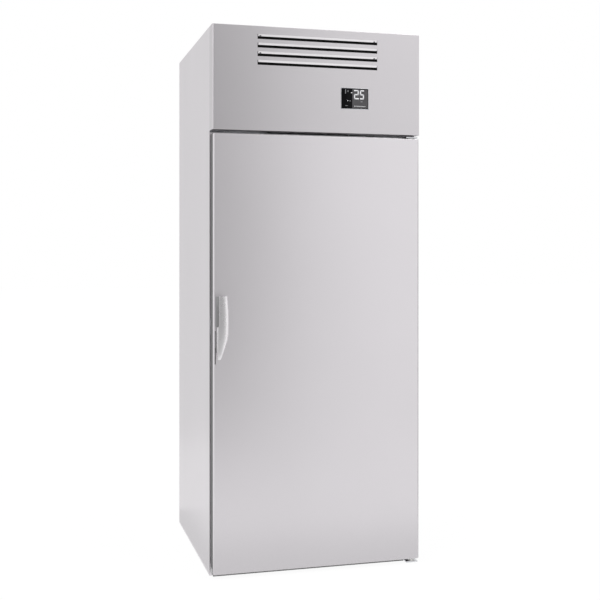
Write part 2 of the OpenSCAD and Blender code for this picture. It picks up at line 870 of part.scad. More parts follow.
// Sheet that closes the door's back, with a guide for the inside release
module door_inner_liner() {
    color("gainsboro")
        difference() {
            union() {
                block([-door_hw, y_rear_face - skin_t, z_door0], [door_hw, y_rear_face, z_door1]);
                rod_y(release_x, z_latch, y_rear_face - 12, y_rear_face, release_r + 3);
            }
            block([latch_x - strike_gap, y_rear_face - 3, z_latch - latch_h / 2 - 1],
                  [latch_x + latch_t + latch_travel + strike_gap, y_rear_face + 1,
                   z_latch + latch_h / 2 + 1]);
            rod_y(release_x, z_latch, y_rear_face - 13, y_rear_face + 1, release_r + fit);
            for (z = [z_door0 - 1, z_door1 - bush_l]) translate([pivot[0], pivot[1], z])
                cylinder(h = bush_l + 1, r = bush_r + fit);
        }
}

// Soft seal along both sides and the top; the foot rail and sweep close the bottom
module door_gasket() {
    z0 = z_door0 + foot_rail_h + 2;
    z1 = z_door1 - gasket_down;
    x1 = hx - gasket_in;
    color("dimgray")
        difference() {
            block([-x1, y_rear_face, z0], [x1, y_body - seat, z1]);
            block([-x1 + gasket_w, y_rear_face - 1, z0 - 1], [x1 - gasket_w, y_body, z1 - gasket_w]);
        }
}

module door_foot_rail() {
    color("silver")
        difference() {
            block([-door_hw, y_rear_face, z_door0], [hx - gasket_in, y_body - 1.5,
                  z_door0 + foot_rail_h]);
            block([-door_hw - 1, y_rear_face + fascia_t, z_door0 + fascia_t],
                  [hx - gasket_in + 1, y_body - 1.5 - fascia_t, z_door0 + foot_rail_h - fascia_t]);
        }
}

// Rubber strip under the door that closes the gap to the floor
module door_sweep() {
    x1 = pivot[0] - bracket_w / 2 - 4;
    y = y_rear_face - 16;
    color([0.1, 0.1, 0.1]) {
        block([-door_hw + 6, y - 4, z_door0 - 3], [x1, y + sweep_t + 4, z_door0]);
        block([-door_hw + 6, y, sweep_z], [x1, y + sweep_t, z_door0 - 2]);
    }
}

module hinge_bush(collar) {
    difference() {
        union() {
            translate([0, 0, -bush_l]) cylinder(h = bush_l, r = bush_r);
            cylinder(h = collar, r = bush_r + 4);
        }
        translate([0, 0, -bush_l - 1]) cylinder(h = bush_l + collar + 2, r = hinge_pin_r + fit);
    }
}

module hinge_bushes() {
    color("lightgray") {
        translate([pivot[0], pivot[1], z_door1])
            hinge_bush(z_deck - bracket_t - z_door1 - seat);
        translate([pivot[0], pivot[1], z_door0]) mirror([0, 0, 1])
            hinge_bush(z_door0 - trim_t - bracket_t - seat);
    }
}

// Width of the grip's outline at a share u of its height, from the tip to the top
function leaf_w(u) = u < leaf_u
    ? tip_w + (handle_w - tip_w) * pow(sin(90 * u / leaf_u), 0.9)
    : handle_w - (handle_w - handle_top_w) * (1 - cos(90 * (u - leaf_u) / (1 - leaf_u)));

// How far the grip stands out at a share u of its height
function leaf_out(u) = u < leaf_u
    ? tip_out + (handle_out - tip_out) * pow(sin(90 * u / leaf_u), leaf_power)
    : handle_out - 3 * (1 - cos(90 * (u - leaf_u) / (1 - leaf_u)));

// Leaf from share u0 of its height up: its front outline met by its side outline.
// Drawn in by t it is the finger recess, which runs out past the left edge and the top.
module leaf(t, u0) {
    over = t > 0 ? 1 : 0;
    steps = [for (i = [0 : leaf_n]) u0 + (1 - u0) * i / leaf_n];
    z0 = handle_h * u0;
    z1 = handle_h + over;
    w1 = leaf_w(1) - t;
    d1 = leaf_out(1) - t;
    intersection() {
        translate([grip_x, y_front, grip_z]) rotate([90, 0, 0])
            linear_extrude(handle_out + 1)
                polygon(concat([[-over, z0]], [for (u = steps) [leaf_w(u) - t, handle_h * u]],
                               over > 0 ? [[w1, z1]] : [], [[-over, z1]]));
        translate([grip_x - 2, y_front, grip_z]) rotate([90, 0, 90])
            linear_extrude(handle_w + 4)
                polygon(concat([[-1, z0]], [for (u = steps) [t - leaf_out(u), handle_h * u]],
                               over > 0 ? [[-d1, z1]] : [], [[-1, z1]]));
    }
}

// Plate screwed to the door, with the lug that the grip turns on
module handle_base() {
    z0 = grip_z + handle_h * 0.12;
    color("silver")
        difference() {
            union() {
                block([grip_x, y_front - base_t, z0],
                      [grip_axis[0] - 1, y_front, grip_z + handle_h - 2]);
                translate([grip_axis[0], grip_axis[1], lug_z - lug_hh]) cylinder(h = 2 * lug_hh, r = lug_r);
                block([grip_axis[0] - lug_r, grip_axis[1], lug_z - lug_hh],
                      [grip_axis[0] + lug_r, y_front, lug_z + lug_hh]);
            }
            translate([grip_axis[0], grip_axis[1], lug_z - lug_hh - 1])
                cylinder(h = 2 * lug_hh + 2, r = grip_pin_r + fit);
        }
}

// Box in the door that guides the latch, open behind for its tongue
module latch_case() {
    color("dimgray")
        difference() {
            block([case_x0, case_y0, z_latch - case_h / 2],
                  [case_x0 + case_w, case_y1, z_latch + case_h / 2]);
            block([case_x0 + case_t, case_y0 + case_t, z_latch - case_h / 2 + case_t],
                  [case_x0 + case_w - case_t, case_y1 - case_t, z_latch + case_h / 2 - case_t]);
            block([latch_x - strike_gap, case_y1 - case_t - 1, z_latch - latch_h / 2 - 1],
                  [latch_x + latch_t + latch_travel + strike_gap, case_y1 + 1,
                   z_latch + latch_h / 2 + 1]);
        }
}

// Cast pull grip: a closed lower half and, above it, a shell open to the left and the top
module handle_grip() {
    color("lightgray")
        difference() {
            leaf(0, 0);
            block([grip_x - 1, y_front - base_t - seat, grip_z - 1],
                  [grip_x + handle_w + 1, y_front + 1, grip_z + handle_h + 1]);
            leaf(grip_t, (z_latch - grip_z) / handle_h);
            translate([grip_axis[0], grip_axis[1], lug_z - lug_hh - seat])
                cylinder(h = 2 * (lug_hh + seat), r = lug_r + 1.5);
            block([grip_axis[0] - lug_r - 3, grip_axis[1], lug_z - lug_hh - seat],
                  [grip_axis[0] + lug_r + 3, y_front, lug_z + lug_hh + seat]);
            translate([grip_axis[0], grip_axis[1], lug_z - lug_hh - 8])
                cylinder(h = z_latch - lug_z + lug_hh + 9, r = grip_pin_r + 0.02);
        }
}

module handle_pin() {
    color("gray")
        translate([grip_axis[0], grip_axis[1], lug_z - lug_hh - 8])
            cylinder(h = z_latch - lug_z + lug_hh + 6, r = grip_pin_r);
}

// Carriage in the case and the tongue that reaches back into the strike box
module latch_bolt() {
    y0 = case_y0 + case_t + seat;
    hh = case_h / 2 - case_t - seat;
    color("gray") {
        block([latch_x, y0, z_latch - hh], [latch_x + carriage_w, y0 + carriage_d, z_latch + hh]);
        block([latch_x, y0, z_latch - latch_h / 2],
              [latch_x + latch_t, y_body + latch_reach, z_latch + latch_h / 2]);
    }
}

// Push knob inside the bay that draws the latch
module release_knob() {
    y = y_rear_face + latch_travel + 2;
    color("limegreen") {
        rod_y(release_x, z_latch, y_rear_face - release_in, y + 1, release_r);
        rod_y(release_x, z_latch, y, y + 10, release_r + 13);
    }
}

// Folded front of the head, with louvres, the display's cut-out and room for the hinge ears
module fascia_panel() {
    color("silver") {
        difference() {
            translate([0, y_front, z_head])
                tray(cab_w, door_t + seal_gap - flap_gap, head_h, fold_r, fascia_t);
            for (z = louvre_z) block([-louvre_l / 2, y_front - 1, z - louvre_h],
                                     [louvre_l / 2, y_front + fascia_t + 1, z]);
            block([disp[0] - seat / 2, y_front - 1, disp[1] - seat / 2],
                  [disp[0] + display_w + seat / 2, y_front + fascia_t + 1,
                   disp[1] + display_h + seat / 2]);
            for (s = [-1, 1])
                block([s * ear_x - ear_w / 2 - 1, flap[0] - 8, cab_h - fascia_t - 1],
                      [s * ear_x + ear_w / 2 + 1, y_body, cab_h + 1]);
            rod_x(-hx - 1, hx + 1, flap[0], flap[1], flap_pin_r + fit);
        }
        for (z = louvre_z) translate([-louvre_l / 2, y_front, z]) rotate([90, 0, 90])
            linear_extrude(louvre_l)
                polygon([[0.2, 0], [0.2, 1], [fascia_t, 1], [fascia_t, 0.2],
                         [lip_in, 0.6 - lip_drop], [lip_in - 1.2, -lip_drop]]);
    }
}

module display_panel() {
    color([0.05, 0.05, 0.06])
        block([disp[0], y_front - 1, disp[1]],
              [disp[0] + display_w, y_front + fascia_t, disp[1] + display_h]);
}

// Case of the controller, whose flange lies on the back of the panel
module controller_case() {
    y = y_front + fascia_t;
    color("dimgray") {
        block([disp[0] - 8, y, disp[1] - 6],
              [disp[0] + display_w + 8, y + trim_t, disp[1] + display_h + 6]);
        block([disp[0] + 4, y, disp[1] + 4],
              [disp[0] + display_w - 4, y + controller_d, disp[1] + display_h - 4]);
    }
}

// Dust filter behind the louvres, held off the front panel by a stud at each corner
module air_filter() {
    y0 = y_front + lip_in + 1;
    x1 = louvre_l / 2 + 10;
    z0 = louvre_z[louvre_n - 1] - louvre_h - 16;
    z1 = louvre_z[0] + 4;
    color([0.08, 0.08, 0.08]) {
        block([-x1, y0, z0], [x1, y0 + 6, z1]);
        for (x = [5 - x1, x1 - 5], z = [z0 + 6, z1 - 6])
            rod_y(x, z, y_front + fascia_t, y0 + 1, 3);
    }
}

module condenser_fan() {
    color("dimgray")
        translate([fan_c[0], y_shroud1, fan_c[1]]) rotate([-90, 0, 0])
            fan_rotor(cond_fan_r, 36, 26, 5, 80, 28);
}

module evap_fan(x) {
    color("dimgray")
        translate([x, y_fan, z_fan_plate + fan_plate_t])
            fan_rotor(evap_fan_r, 24, 24, 5, 44, 28);
}

module evap_fan_left() {
    evap_fan(evap_fans[0]);
}

module evap_fan_right() {
    evap_fan(evap_fans[1]);
}

left_side_skin();
right_side_skin();
rear_skin();
side_wall_foam();
rear_wall_foam();
ceiling_foam();
inner_liner();
front_frame();
breaker_strip();
base_rails();
floor_pan();
deck_plate();
bumper_rails();
wheel_guides();
air_duct_panel();
evaporator_housing();
evaporator_coil();
evap_fan_plate();
evap_fan_motors();
evap_fan_guards();
drip_tray();
drain_pipe();
evaporating_pan();
compressor();
compressor_feet();
condenser_coil();
condenser_shroud();
condenser_fan_motor();
filter_drier();
refrigerant_lines();
electrical_box();
cable_gland();
rear_vent_panel();
head_rail();
fascia_hinge_pins();
interior_lamp();
temperature_probe();
strike_plate();
top_hinge_bracket();
bottom_hinge_bracket();
hinge_screws();
door_outer_skin();
door_foam();
door_inner_liner();
door_gasket();
door_foot_rail();
door_sweep();
hinge_bushes();
handle_base();
latch_case();
handle_grip();
handle_pin();
latch_bolt();
release_knob();
fascia_panel();
display_panel();
controller_case();
air_filter();
condenser_fan();
evap_fan_left();
evap_fan_right();
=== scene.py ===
# %% [markdown]
# # A roll-in cold cabinet, dressed in Blender
# The cabinet is a tall insulated box in satin stainless steel. A trolley rolls into it through one door, and
# the machine that cools it stands on top, behind a louvred front. The solids come from a imported CAD model,
# which fixes every size. This lesson gives them their finish, and rebuilds the pieces whose form shows.

# %% [markdown]
# ## Load the frame
# The CAD model is the frame that everything else sits in.

# %% Load the frame
import json
import math

import bmesh
import bpy
from mathutils import Matrix, Vector


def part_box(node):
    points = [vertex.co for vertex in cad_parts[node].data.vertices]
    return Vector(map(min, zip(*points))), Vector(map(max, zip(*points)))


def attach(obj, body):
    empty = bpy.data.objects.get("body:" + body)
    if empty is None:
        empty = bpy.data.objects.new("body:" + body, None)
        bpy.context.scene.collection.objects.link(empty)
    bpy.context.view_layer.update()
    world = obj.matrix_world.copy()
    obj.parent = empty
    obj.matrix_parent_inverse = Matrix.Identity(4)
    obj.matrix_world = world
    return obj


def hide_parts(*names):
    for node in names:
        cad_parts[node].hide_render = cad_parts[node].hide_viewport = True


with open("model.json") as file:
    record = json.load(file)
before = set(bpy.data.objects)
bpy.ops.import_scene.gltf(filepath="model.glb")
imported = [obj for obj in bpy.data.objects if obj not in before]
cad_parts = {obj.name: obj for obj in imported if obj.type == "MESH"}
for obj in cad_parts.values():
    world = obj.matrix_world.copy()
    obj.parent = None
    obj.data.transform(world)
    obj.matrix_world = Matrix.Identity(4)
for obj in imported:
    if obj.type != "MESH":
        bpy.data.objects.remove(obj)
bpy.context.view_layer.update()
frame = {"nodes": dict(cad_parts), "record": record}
nodes = frame["nodes"]
scene = bpy.context.scene

# %% [markdown]
# ## Camera
# The photograph was taken from the left, a little above the door's middle. Upright edges stay parallel in it,
# so the camera is level and its lens is shifted down instead of being tipped.

# %% Camera
eye = bpy.data.cameras.new("eye")
eye.lens = 61.1
eye.sensor_fit = "HORIZONTAL"
photo_width = 600
eye.shift_x = -0.4 / photo_width
eye.shift_y = -50.05 / photo_width
camera = bpy.data.objects.new("camera", eye)
camera.location = (-1.148, -4.389, 1.305)
camera.rotation_euler = (math.radians(90), 0, math.radians(-15.1))
scene.collection.objects.link(camera)
scene.camera = camera
scene.view_settings.view_transform = "Standard"
print("camera at", tuple(camera.location), "lens", eye.lens)

# %% [markdown]
# ## A short way to wire a shader
# Every finish below is a few nodes behind one Principled shader. These helpers add a node with its values in
# one call, so that each material reads as a short recipe.

# %% Shader helpers


def node(tree, kind, **values):
    """Adds a shader node, and sets its inputs (by name) and its own settings."""
    made = tree.nodes.new("ShaderNode" + kind)
    for key, value in values.items():
        if key in made.inputs:
            made.inputs[key].default_value = value
        else:
            setattr(made, key, value)
    return made


finishes = {}


def start_finish(name, **values):
    """A new finish with its Principled shader. An underscore in an input's name stands for a space."""
    material = bpy.data.materials.new(name)
    material.use_nodes = True
    tree = material.node_tree
    shader = tree.nodes["Principled BSDF"]
    for key, value in values.items():
        shader.inputs[key.replace("_", " ")].default_value = value
    finishes[name] = material
    return tree, shader


def feed(tree, shader, **sources):
    """Links sources to the shader's inputs. An underscore stands for a space."""
    for key, source in sources.items():
        tree.links.new(source, shader.inputs[key.replace("_", " ")])


print("finishes can be started")

# %% Patterns and values


def stretched(tree, scale):
    """Object coordinates, stretched by a Mapping node."""
    place = node(tree, "TexCoord")
    mapping = node(tree, "Mapping", Scale=scale)
    tree.links.new(place.outputs["Object"], mapping.inputs["Vector"])
    return mapping.outputs["Vector"]


def noise(tree, scale, detail, roughness=0.5, stretch=(1, 1, 1)):
    """Noise on object coordinates, which may be stretched."""
    made = node(tree, "TexNoise", Scale=scale, Detail=detail, Roughness=roughness)
    tree.links.new(stretched(tree, stretch), made.inputs["Vector"])
    return made.outputs["Fac"]


def ramp(tree, source, stops):
    """A colour ramp from a list of (position, colour) stops."""
    made = node(tree, "ValToRGB")
    points = made.color_ramp.elements
    while len(points) < len(stops):
        points.new(0.5)
    for point, (position, colour) in zip(points, stops):
        point.position = position
        point.color = (*colour, 1)
    tree.links.new(source, made.inputs["Fac"])
    return made.outputs["Color"]


def span(tree, source, low, high):
    """A 0 to 1 value, spread between low and high."""
    made = node(tree, "MapRange")
    made.inputs["To Min"].default_value = low
    made.inputs["To Max"].default_value = high
    tree.links.new(source, made.inputs["Value"])
    return made.outputs["Result"]


def bump(tree, shader, height, strength, distance):
    """Fine relief from a height value."""
    made = node(tree, "Bump", Strength=strength, Distance=distance)
    tree.links.new(height, made.inputs["Height"])
    feed(tree, shader, Normal=made.outputs["Normal"])


print("patterns can be wired")

# %% [markdown]
# ## A white studio
# The cabinet stands on white with hardly a shadow. The world is a plain soft light. Rays that come from the
# camera, or that leave metal or glass, meet it at a strength of 1, which is white, and only the soft light on
# matt surfaces is weaker. The floor does the same, but keeps a part of its own shading, and with it the
# cabinet's shadow.

# %% World


def straight_rays(tree):
    """1 for camera, glossy and transmission rays, 0 for the soft light."""
    path = node(tree, "LightPath")
    found = path.outputs["Is Camera Ray"]
    for kind in ("Glossy", "Transmission"):
        either = node(tree, "Math", operation="MAXIMUM")
        tree.links.new(found, either.inputs[0])
        tree.links.new(path.outputs["Is " + kind + " Ray"], either.inputs[1])
        found = either.outputs[0]
    return found


soft_level = 0.78
world = bpy.data.worlds.new("studio")
world.use_nodes = True
scene.world = world
sky = world.node_tree
background = sky.nodes["Background"]
background.inputs["Color"].default_value = (1, 1, 1, 1)
sky.links.new(span(sky, straight_rays(sky), soft_level, 1.0), background.inputs["Strength"])
print("soft light:", soft_level)

# %% Floor
floor_glow = 1.025
glow_share = 0.92
paint_tree, paint_shader = start_finish("studio_floor", Roughness=0.9, Base_Color=(0.95, 0.95, 0.95, 1))
glow = node(paint_tree, "Emission", Strength=floor_glow)
blend = node(paint_tree, "MixShader")
for source, target in ((span(paint_tree, straight_rays(paint_tree), 0.0, glow_share), blend.inputs["Fac"]),
                       (paint_shader.outputs[0], blend.inputs[1]), (glow.outputs[0], blend.inputs[2]),
                       (blend.outputs[0], paint_tree.nodes["Material Output"].inputs["Surface"])):
    paint_tree.links.new(source, target)


def object_from(made, name, finish):
    """Turns a bmesh into an object with a finish."""
    mesh = bpy.data.meshes.new(name)
    made.to_mesh(mesh)
    made.free()
    mesh.materials.append(finishes[finish])
    thing = bpy.data.objects.new(name, mesh)
    scene.collection.objects.link(thing)
    return thing


def studio_card(name, width, height, stance, finish):
    """A flat square of the studio, outside the object."""
    made = bmesh.new()
    bmesh.ops.create_grid(made, x_segments=1, y_segments=1, size=0.5)
    bmesh.ops.scale(made, vec=(width, height, 1), verts=made.verts)
    bmesh.ops.transform(made, matrix=stance, verts=made.verts)
    card = object_from(made, name, finish)
    return card


studio_card("floor", 60, 60, Matrix.Identity(4), "studio_floor")
print("floor ready")

# %% [markdown]
# ## Lamps and reflected cards
# On a metal front there is no shade of its own: what is seen is the room in it. In the photograph the front
# is darker at its upper left, so something dark stood there. A dark card that only reflections see does the
# same. Another one stands at the right, and paler ones stand at the left and lie on the floor. The two grey
# cards at the cabinet's foot are painted shadow: they put its shadow on the floor into what the door and the
# side reflect. Two large soft lamps shape what isn't metal.

# %% Lamps and cards


def soft_lamp(name, place, target, size, watts):
    """A square area lamp that faces a point."""
    lamp = bpy.data.lights.new(name, "AREA")
    lamp.size = size
    lamp.energy = watts
    stand = bpy.data.objects.new(name, lamp)
    stand.location = place
    stand.rotation_euler = (Vector(target) - Vector(place)).to_track_quat("-Z", "Y").to_euler()
    scene.collection.objects.link(stand)


soft_lamp("key_lamp", (3.0, -3.8, 6.0), (0, 0, 1.0), 2.4, 70)
soft_lamp("fill_lamp", (-3.6, -4.0, 5.0), (0, 0, 1.0), 2.4, 35)


def reflected_card(name, grey, width, height, place, tip=90, turn=0):
    """A grey card that only metal and glass see, upright unless it is tipped, and turned round the Z axis."""
    start_finish(name, Roughness=1.0, Base_Color=(0, 0, 0, 1), Specular_IOR_Level=0,
                 Emission_Color=(1, 1, 1, 1), Emission_Strength=grey)
    turned = Matrix.Rotation(math.radians(turn), 4, "Z") @ Matrix.Rotation(math.radians(tip), 4, "X")
    card = studio_card(name, width, height, Matrix.Translation(place) @ turned, name)
    for kind_of_ray in ("camera", "diffuse", "transmission", "shadow"):
        setattr(card, "visible_" + kind_of_ray, False)


for row in (("dark_card", 0.39, 2.6, 4.0, (-0.85, -3.4, 2.0)),
            ("side_card", 0.80, 1.3, 3.7, (-1.25, 2.5, 1.85)),
            ("foot_shadow_card", 0.77, 2.4, 0.5, (0.3, -0.68, 0.004), 0),
            ("front_floor_card", 0.95, 9, 11, (1.5, -6.6, 0.002), 0),
            ("side_foot_shadow_card", 0.76, 0.2, 1.2, (-0.54, 0.1, 0.004), 0),
            ("side_floor_card", 0.93, 0.8, 1.7, (-0.8, 1.6, 0.003), 0),
            ("edge_card", 0.25, 1.6, 1.75, (1.3, 0.5, 0.88), 90, 90)):
    reflected_card(*row)
print("two lamps, seven cards")

# %% [markdown]
# ## Satin stainless steel
# The skins are stainless sheet that was brushed along its length, so the fine scratches run up the doors and
# sides and along the head. Noise that is stretched hard in one direction gives them, in the roughness and as
# a very small relief. A second, broad noise lets the sheet breathe a little, as thin sheet over foam does.

# %% Steel


def brushed_steel(name, colour, roughness, along):
    """Brushed sheet whose grain runs along one axis."""
    tree, shader = start_finish(name, Metallic=1.0)
    scale = [900, 900, 900]
    scale["XYZ".index(along)] = 6
    grain = noise(tree, 1.0, 3.0, 0.6, scale)
    tone = node(tree, "Mix", data_type="RGBA")
    tree.links.new(noise(tree, 2.2, 2.0), tone.inputs[0])
    for slot, share in ((6, 0.97), (7, 1.02)):
        tone.inputs[slot].default_value = (*[c * share for c in colour], 1)
    feed(tree, shader, Base_Color=tone.outputs[2],
         Roughness=span(tree, grain, roughness - 0.05, roughness + 0.05))
    bump(tree, shader, grain, 0.12, 0.0004)


steel_tint = (0.734, 0.709, 0.734)
brushed_steel("satin_steel_upright", steel_tint, 0.34, "Z")
# The head's steel, brushed across, is the same steel made darker: painted shade.
brushed_steel("shaded_steel_across", [c * 0.852 for c in steel_tint], 0.34, "X")
# The louvre lips get the same steel made brighter: a painted highlight.
brushed_steel("lip_steel_painted_highlight", (0.88, 0.86, 0.88), 0.30, "X")
brushed_steel("inner_steel", (0.70, 0.685, 0.70), 0.28, "Z")
print("steels:", [name for name in finishes if "steel" in name])

# %% [markdown]
# ## Other metals
# Galvanised sheet shows the crystals of its zinc as patches of slightly different grey. Plated parts are
# smoother and a little blue, cast parts are matt with a pebbled skin, and copper darkens in patches where it
# was handled.

# %% Other metals


def spangled(name, colour, roughness):
    """Galvanised sheet: a Voronoi cell for each crystal of zinc."""
    tree, shader = start_finish(name, Metallic=1.0)
    crystals = node(tree, "TexVoronoi", Scale=1.0, Randomness=1.0)
    tree.links.new(stretched(tree, (90, 90, 90)), crystals.inputs["Vector"])
    split = node(tree, "SeparateColor")
    tree.links.new(crystals.outputs["Color"], split.inputs["Color"])
    low = [c * 0.86 for c in colour]
    feed(tree, shader, Base_Color=ramp(tree, split.outputs[0], [(0, low), (1, colour)]),
         Roughness=span(tree, split.outputs[1], roughness - 0.08, roughness + 0.08))


def worn_metal(name, dark, bright, roughness, scale, relief):
    """Plain metal with patches of tone and a fine skin."""
    tree, shader = start_finish(name, Metallic=1.0)
    patches = noise(tree, scale, 4.0, 0.6)
    feed(tree, shader, Base_Color=ramp(tree, patches, [(0.3, dark), (0.7, bright)]),
         Roughness=span(tree, patches, roughness + 0.08, roughness - 0.06))
    bump(tree, shader, noise(tree, 1400.0, 2.0), relief, 0.0005)


spangled("galvanised_sheet", (0.60, 0.61, 0.63), 0.42)
worn_metal("plated_steel", (0.56, 0.57, 0.60), (0.72, 0.72, 0.74), 0.24, 60, 0.05)
worn_metal("cast_alloy", (0.81, 0.795, 0.81), (0.86, 0.84, 0.86), 0.27, 30, 0.02)
worn_metal("copper_tube", (0.52, 0.24, 0.14), (0.86, 0.47, 0.32), 0.26, 24, 0.06)
worn_metal("fin_aluminium", (0.62, 0.63, 0.64), (0.80, 0.80, 0.81), 0.32, 40, 0.08)
print("finishes so far:", ", ".join(finishes))

# %% [markdown]
# ## Plastic, rubber, enamel and foam
# These aren't metal, so their colour is their own. Each one gets a tone that varies a little, a grain of its
# own size, and a roughness that the grain changes too.

# %% Plastic, rubber, enamel and foam


def matt_stuff(name, colour, roughness, grain, relief):
    """A coloured body with a fine grain in its tone, its roughness and its relief."""
    tree, shader = start_finish(name)
    pebbles = noise(tree, grain, 3.0, 0.55)
    low = [c * 0.88 for c in colour]
    high = [min(1.0, c * 1.06) for c in colour]
    feed(tree, shader, Base_Color=ramp(tree, pebbles, [(0.3, low), (0.7, high)]),
         Roughness=span(tree, pebbles, roughness - 0.06, roughness + 0.08))
    bump(tree, shader, pebbles, relief, 0.0006)


stuffs = (("white_plastic", (0.80, 0.80, 0.78), 0.42, 700, 0.10),
          ("dark_plastic", (0.055, 0.055, 0.06), 0.45, 900, 0.14),
          ("edge_plastic", (0.085, 0.085, 0.09), 0.5, 800, 0.12),
          ("recess_shade_grey", (0.34, 0.34, 0.345), 0.45, 700, 0.1),
          ("filter_painted_shade_black", (0.004, 0.004, 0.004), 0.9, 1200, 0.3),
          ("grey_rubber", (0.075, 0.075, 0.08), 0.58, 500, 0.12),
          ("pale_rubber", (0.40, 0.40, 0.405), 0.6, 500, 0.12),
          ("pale_coat", (0.50, 0.50, 0.505), 0.45, 700, 0.1),
          ("black_rubber", (0.022, 0.022, 0.024), 0.66, 600, 0.18),
          ("black_enamel", (0.016, 0.016, 0.018), 0.20, 260, 0.08),
          ("green_plastic", (0.10, 0.42, 0.14), 0.38, 700, 0.08),
          ("lamp_cover", (0.88, 0.88, 0.86), 0.35, 500, 0.05),
          ("insulating_foam", (0.72, 0.62, 0.36), 0.88, 320, 0.6))
for row in stuffs:
    matt_stuff(*row)
# The filter behind the louvres is near black and hardly reflects: a real dust filter, and painted shade for
# the dark inside of the head.
finishes["filter_painted_shade_black"].node_tree.nodes["Principled BSDF"].inputs["Specular IOR Level"].default_value = 0.1
print("plain stuffs:", len(stuffs))

# %% [markdown]
# ## Which finish goes where
# The record names a material slot for each CAD node. Most slots have a finish of the same name. Nodes that
# keep their CAD shape only get the finish of their slot. The head's front panel is brushed across, because
# its sheet lies on its side when it is folded, and its steel is a darker copy of the door's: painted shade.

# %% Finishes for the CAD nodes
finish_of_slot = {"satin_stainless": "satin_steel_upright", "copper": "copper_tube",
                  "display_glass": "dark_plastic", "lamp_diffuser": "lamp_cover"}
finish_of_node = {}
for part in frame["record"]["subparts"]:
    slot = part["material_slot"]
    finish_of_node[part["node"]] = finish_of_slot.get(slot, slot)
finish_of_node["fascia_panel"] = "shaded_steel_across"
for name, solid in nodes.items():
    solid.data.materials.clear()
    solid.data.materials.append(finishes[finish_of_node[name]])
print("finishes given to", len(nodes), "nodes")

# %% [markdown]
# ## Tools of the bench
# The pieces that show are built again with bmesh. These helpers speak millimetres, as the CAD source does: a
# box, a rod between two points, a rounding for chosen edges, and a last step that turns the mesh into an
# object, lets it ride on its body and hides the CAD nodes that it stands for.

# %% Bench tools
mm = 0.001
tiny = 1e-6
for slot, shared in (("satin_stainless", ("satin_steel_upright", "shaded_steel_across", "lip_steel_painted_highlight")),
                     ("dark_plastic", ("edge_plastic", "filter_painted_shade_black")),
                     ("cast_alloy", ("recess_shade_grey", "pale_coat")),
                     ("display_glass", ("black_glass", "window_glass", "lit_white", "lit_dim"))):
    dict.fromkeys(shared, slot)
bodies = frame["record"]["behaviour"]["bodies"]
body_of_node = {name: body for body, names in bodies.items() for name in names}


def box_mm(name):
    """The low and the high corner of a CAD node, in millimetres."""
    return [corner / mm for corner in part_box(name)]


def box_into(made, low, high):
    """Adds a box between two corners and returns its vertices."""
    low, high = Vector(low) * mm, Vector(high) * mm
    corners = bmesh.ops.create_cube(made, size=1)["verts"]
    bmesh.ops.scale(made, vec=high - low, verts=corners)
    bmesh.ops.translate(made, vec=(low + high) / 2, verts=corners)
    return corners


def rod_into(made, start, end, radius, segments=24, end_radius=None):
    """Adds a rod or a cone between two points and returns its vertices."""
    start, end = Vector(start) * mm, Vector(end) * mm
    axis = end - start
    far = radius if end_radius is None else end_radius
    ring = bmesh.ops.create_cone(made, cap_ends=True, segments=segments, radius1=radius * mm,
                                 radius2=far * mm, depth=axis.length)["verts"]
    turn = axis.to_track_quat("Z", "Y").to_matrix().to_4x4()
    bmesh.ops.transform(made, matrix=Matrix.Translation((start + end) / 2) @ turn, verts=ring)
    return ring


def rods_into(made, origin, *rods):
    """Adds rods whose ends are given from one origin: start, end, radius, sides, perhaps an end radius."""
    for start, end, *sizes in rods:
        rod_into(made, origin + Vector(start), origin + Vector(end), *sizes)


print("boxes and rods can be made")

# %% Edges, cuts and choices


def corners_of(made, angle=30):
    """The edges where two faces meet at more than an angle."""
    limit = math.radians(angle)
    return [e for e in made.edges if len(e.link_faces) == 2 and e.calc_face_angle() > limit]


def round_off(made, edges, width, segments=2):
    """Rounds edges, by a width in millimetres."""
    bmesh.ops.bevel(made, geom=edges, offset=width * mm, offset_type="OFFSET", affect="EDGES",
                    segments=segments, profile=0.5, material=-1)


def slice_at(made, faces, place, normal, clear_outer=False):
    """Cuts faces, with their edges and corners, along a plane."""
    edges = dict.fromkeys(e for f in faces for e in f.edges)
    verts = dict.fromkeys(v for f in faces for v in f.verts)
    return bmesh.ops.bisect_plane(made, geom=[*faces, *edges, *verts], dist=1e-7, plane_co=place,
                                  plane_no=normal, clear_outer=clear_outer)["geom"]


def verts_in(geom):
    """The vertices in a mixed list."""
    return [g for g in geom if isinstance(g, bmesh.types.BMVert)]


def faces_in(geom):
    """The faces in a mixed list."""
    return [g for g in geom if isinstance(g, bmesh.types.BMFace)]


def joined_to(verts, kind):
    """The edges or the faces at some vertices, each once and always in the same order."""
    return list(dict.fromkeys(part for v in verts for part in getattr(v, "link_" + kind)))


print("edges can be rounded and faces cut")

# %% Moves and normals


def shift(made, offset, verts):
    """Moves vertices, by millimetres."""
    bmesh.ops.translate(made, vec=Vector(offset) * mm, verts=verts)


def turn_by(made, degrees, axis, verts):
    """Turns vertices round an axis through the origin."""
    turned = Matrix.Rotation(math.radians(degrees), 3, axis)
    bmesh.ops.rotate(made, cent=(0, 0, 0), matrix=turned, verts=verts)


def face_out(made):
    """Lets all faces look outwards."""
    bmesh.ops.recalc_face_normals(made, faces=made.faces)


def join_flat(made):
    """Joins faces that lie in one plane."""
    bmesh.ops.dissolve_limit(made, angle_limit=math.radians(0.5), verts=made.verts, edges=made.edges)


print("shapes can be moved")

# %% Bench tools for whole pieces


def keep_piece(made, name, finish, body, *stands_for, smooth=35):
    """Turns a bmesh into a piece of the cabinet."""
    piece = object_from(made, name, finish)
    piece.data.shade_smooth()
    piece.data.set_sharp_from_angle(angle=math.radians(smooth))
    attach(piece, body)
    if stands_for:
        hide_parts(*stands_for)
    return piece


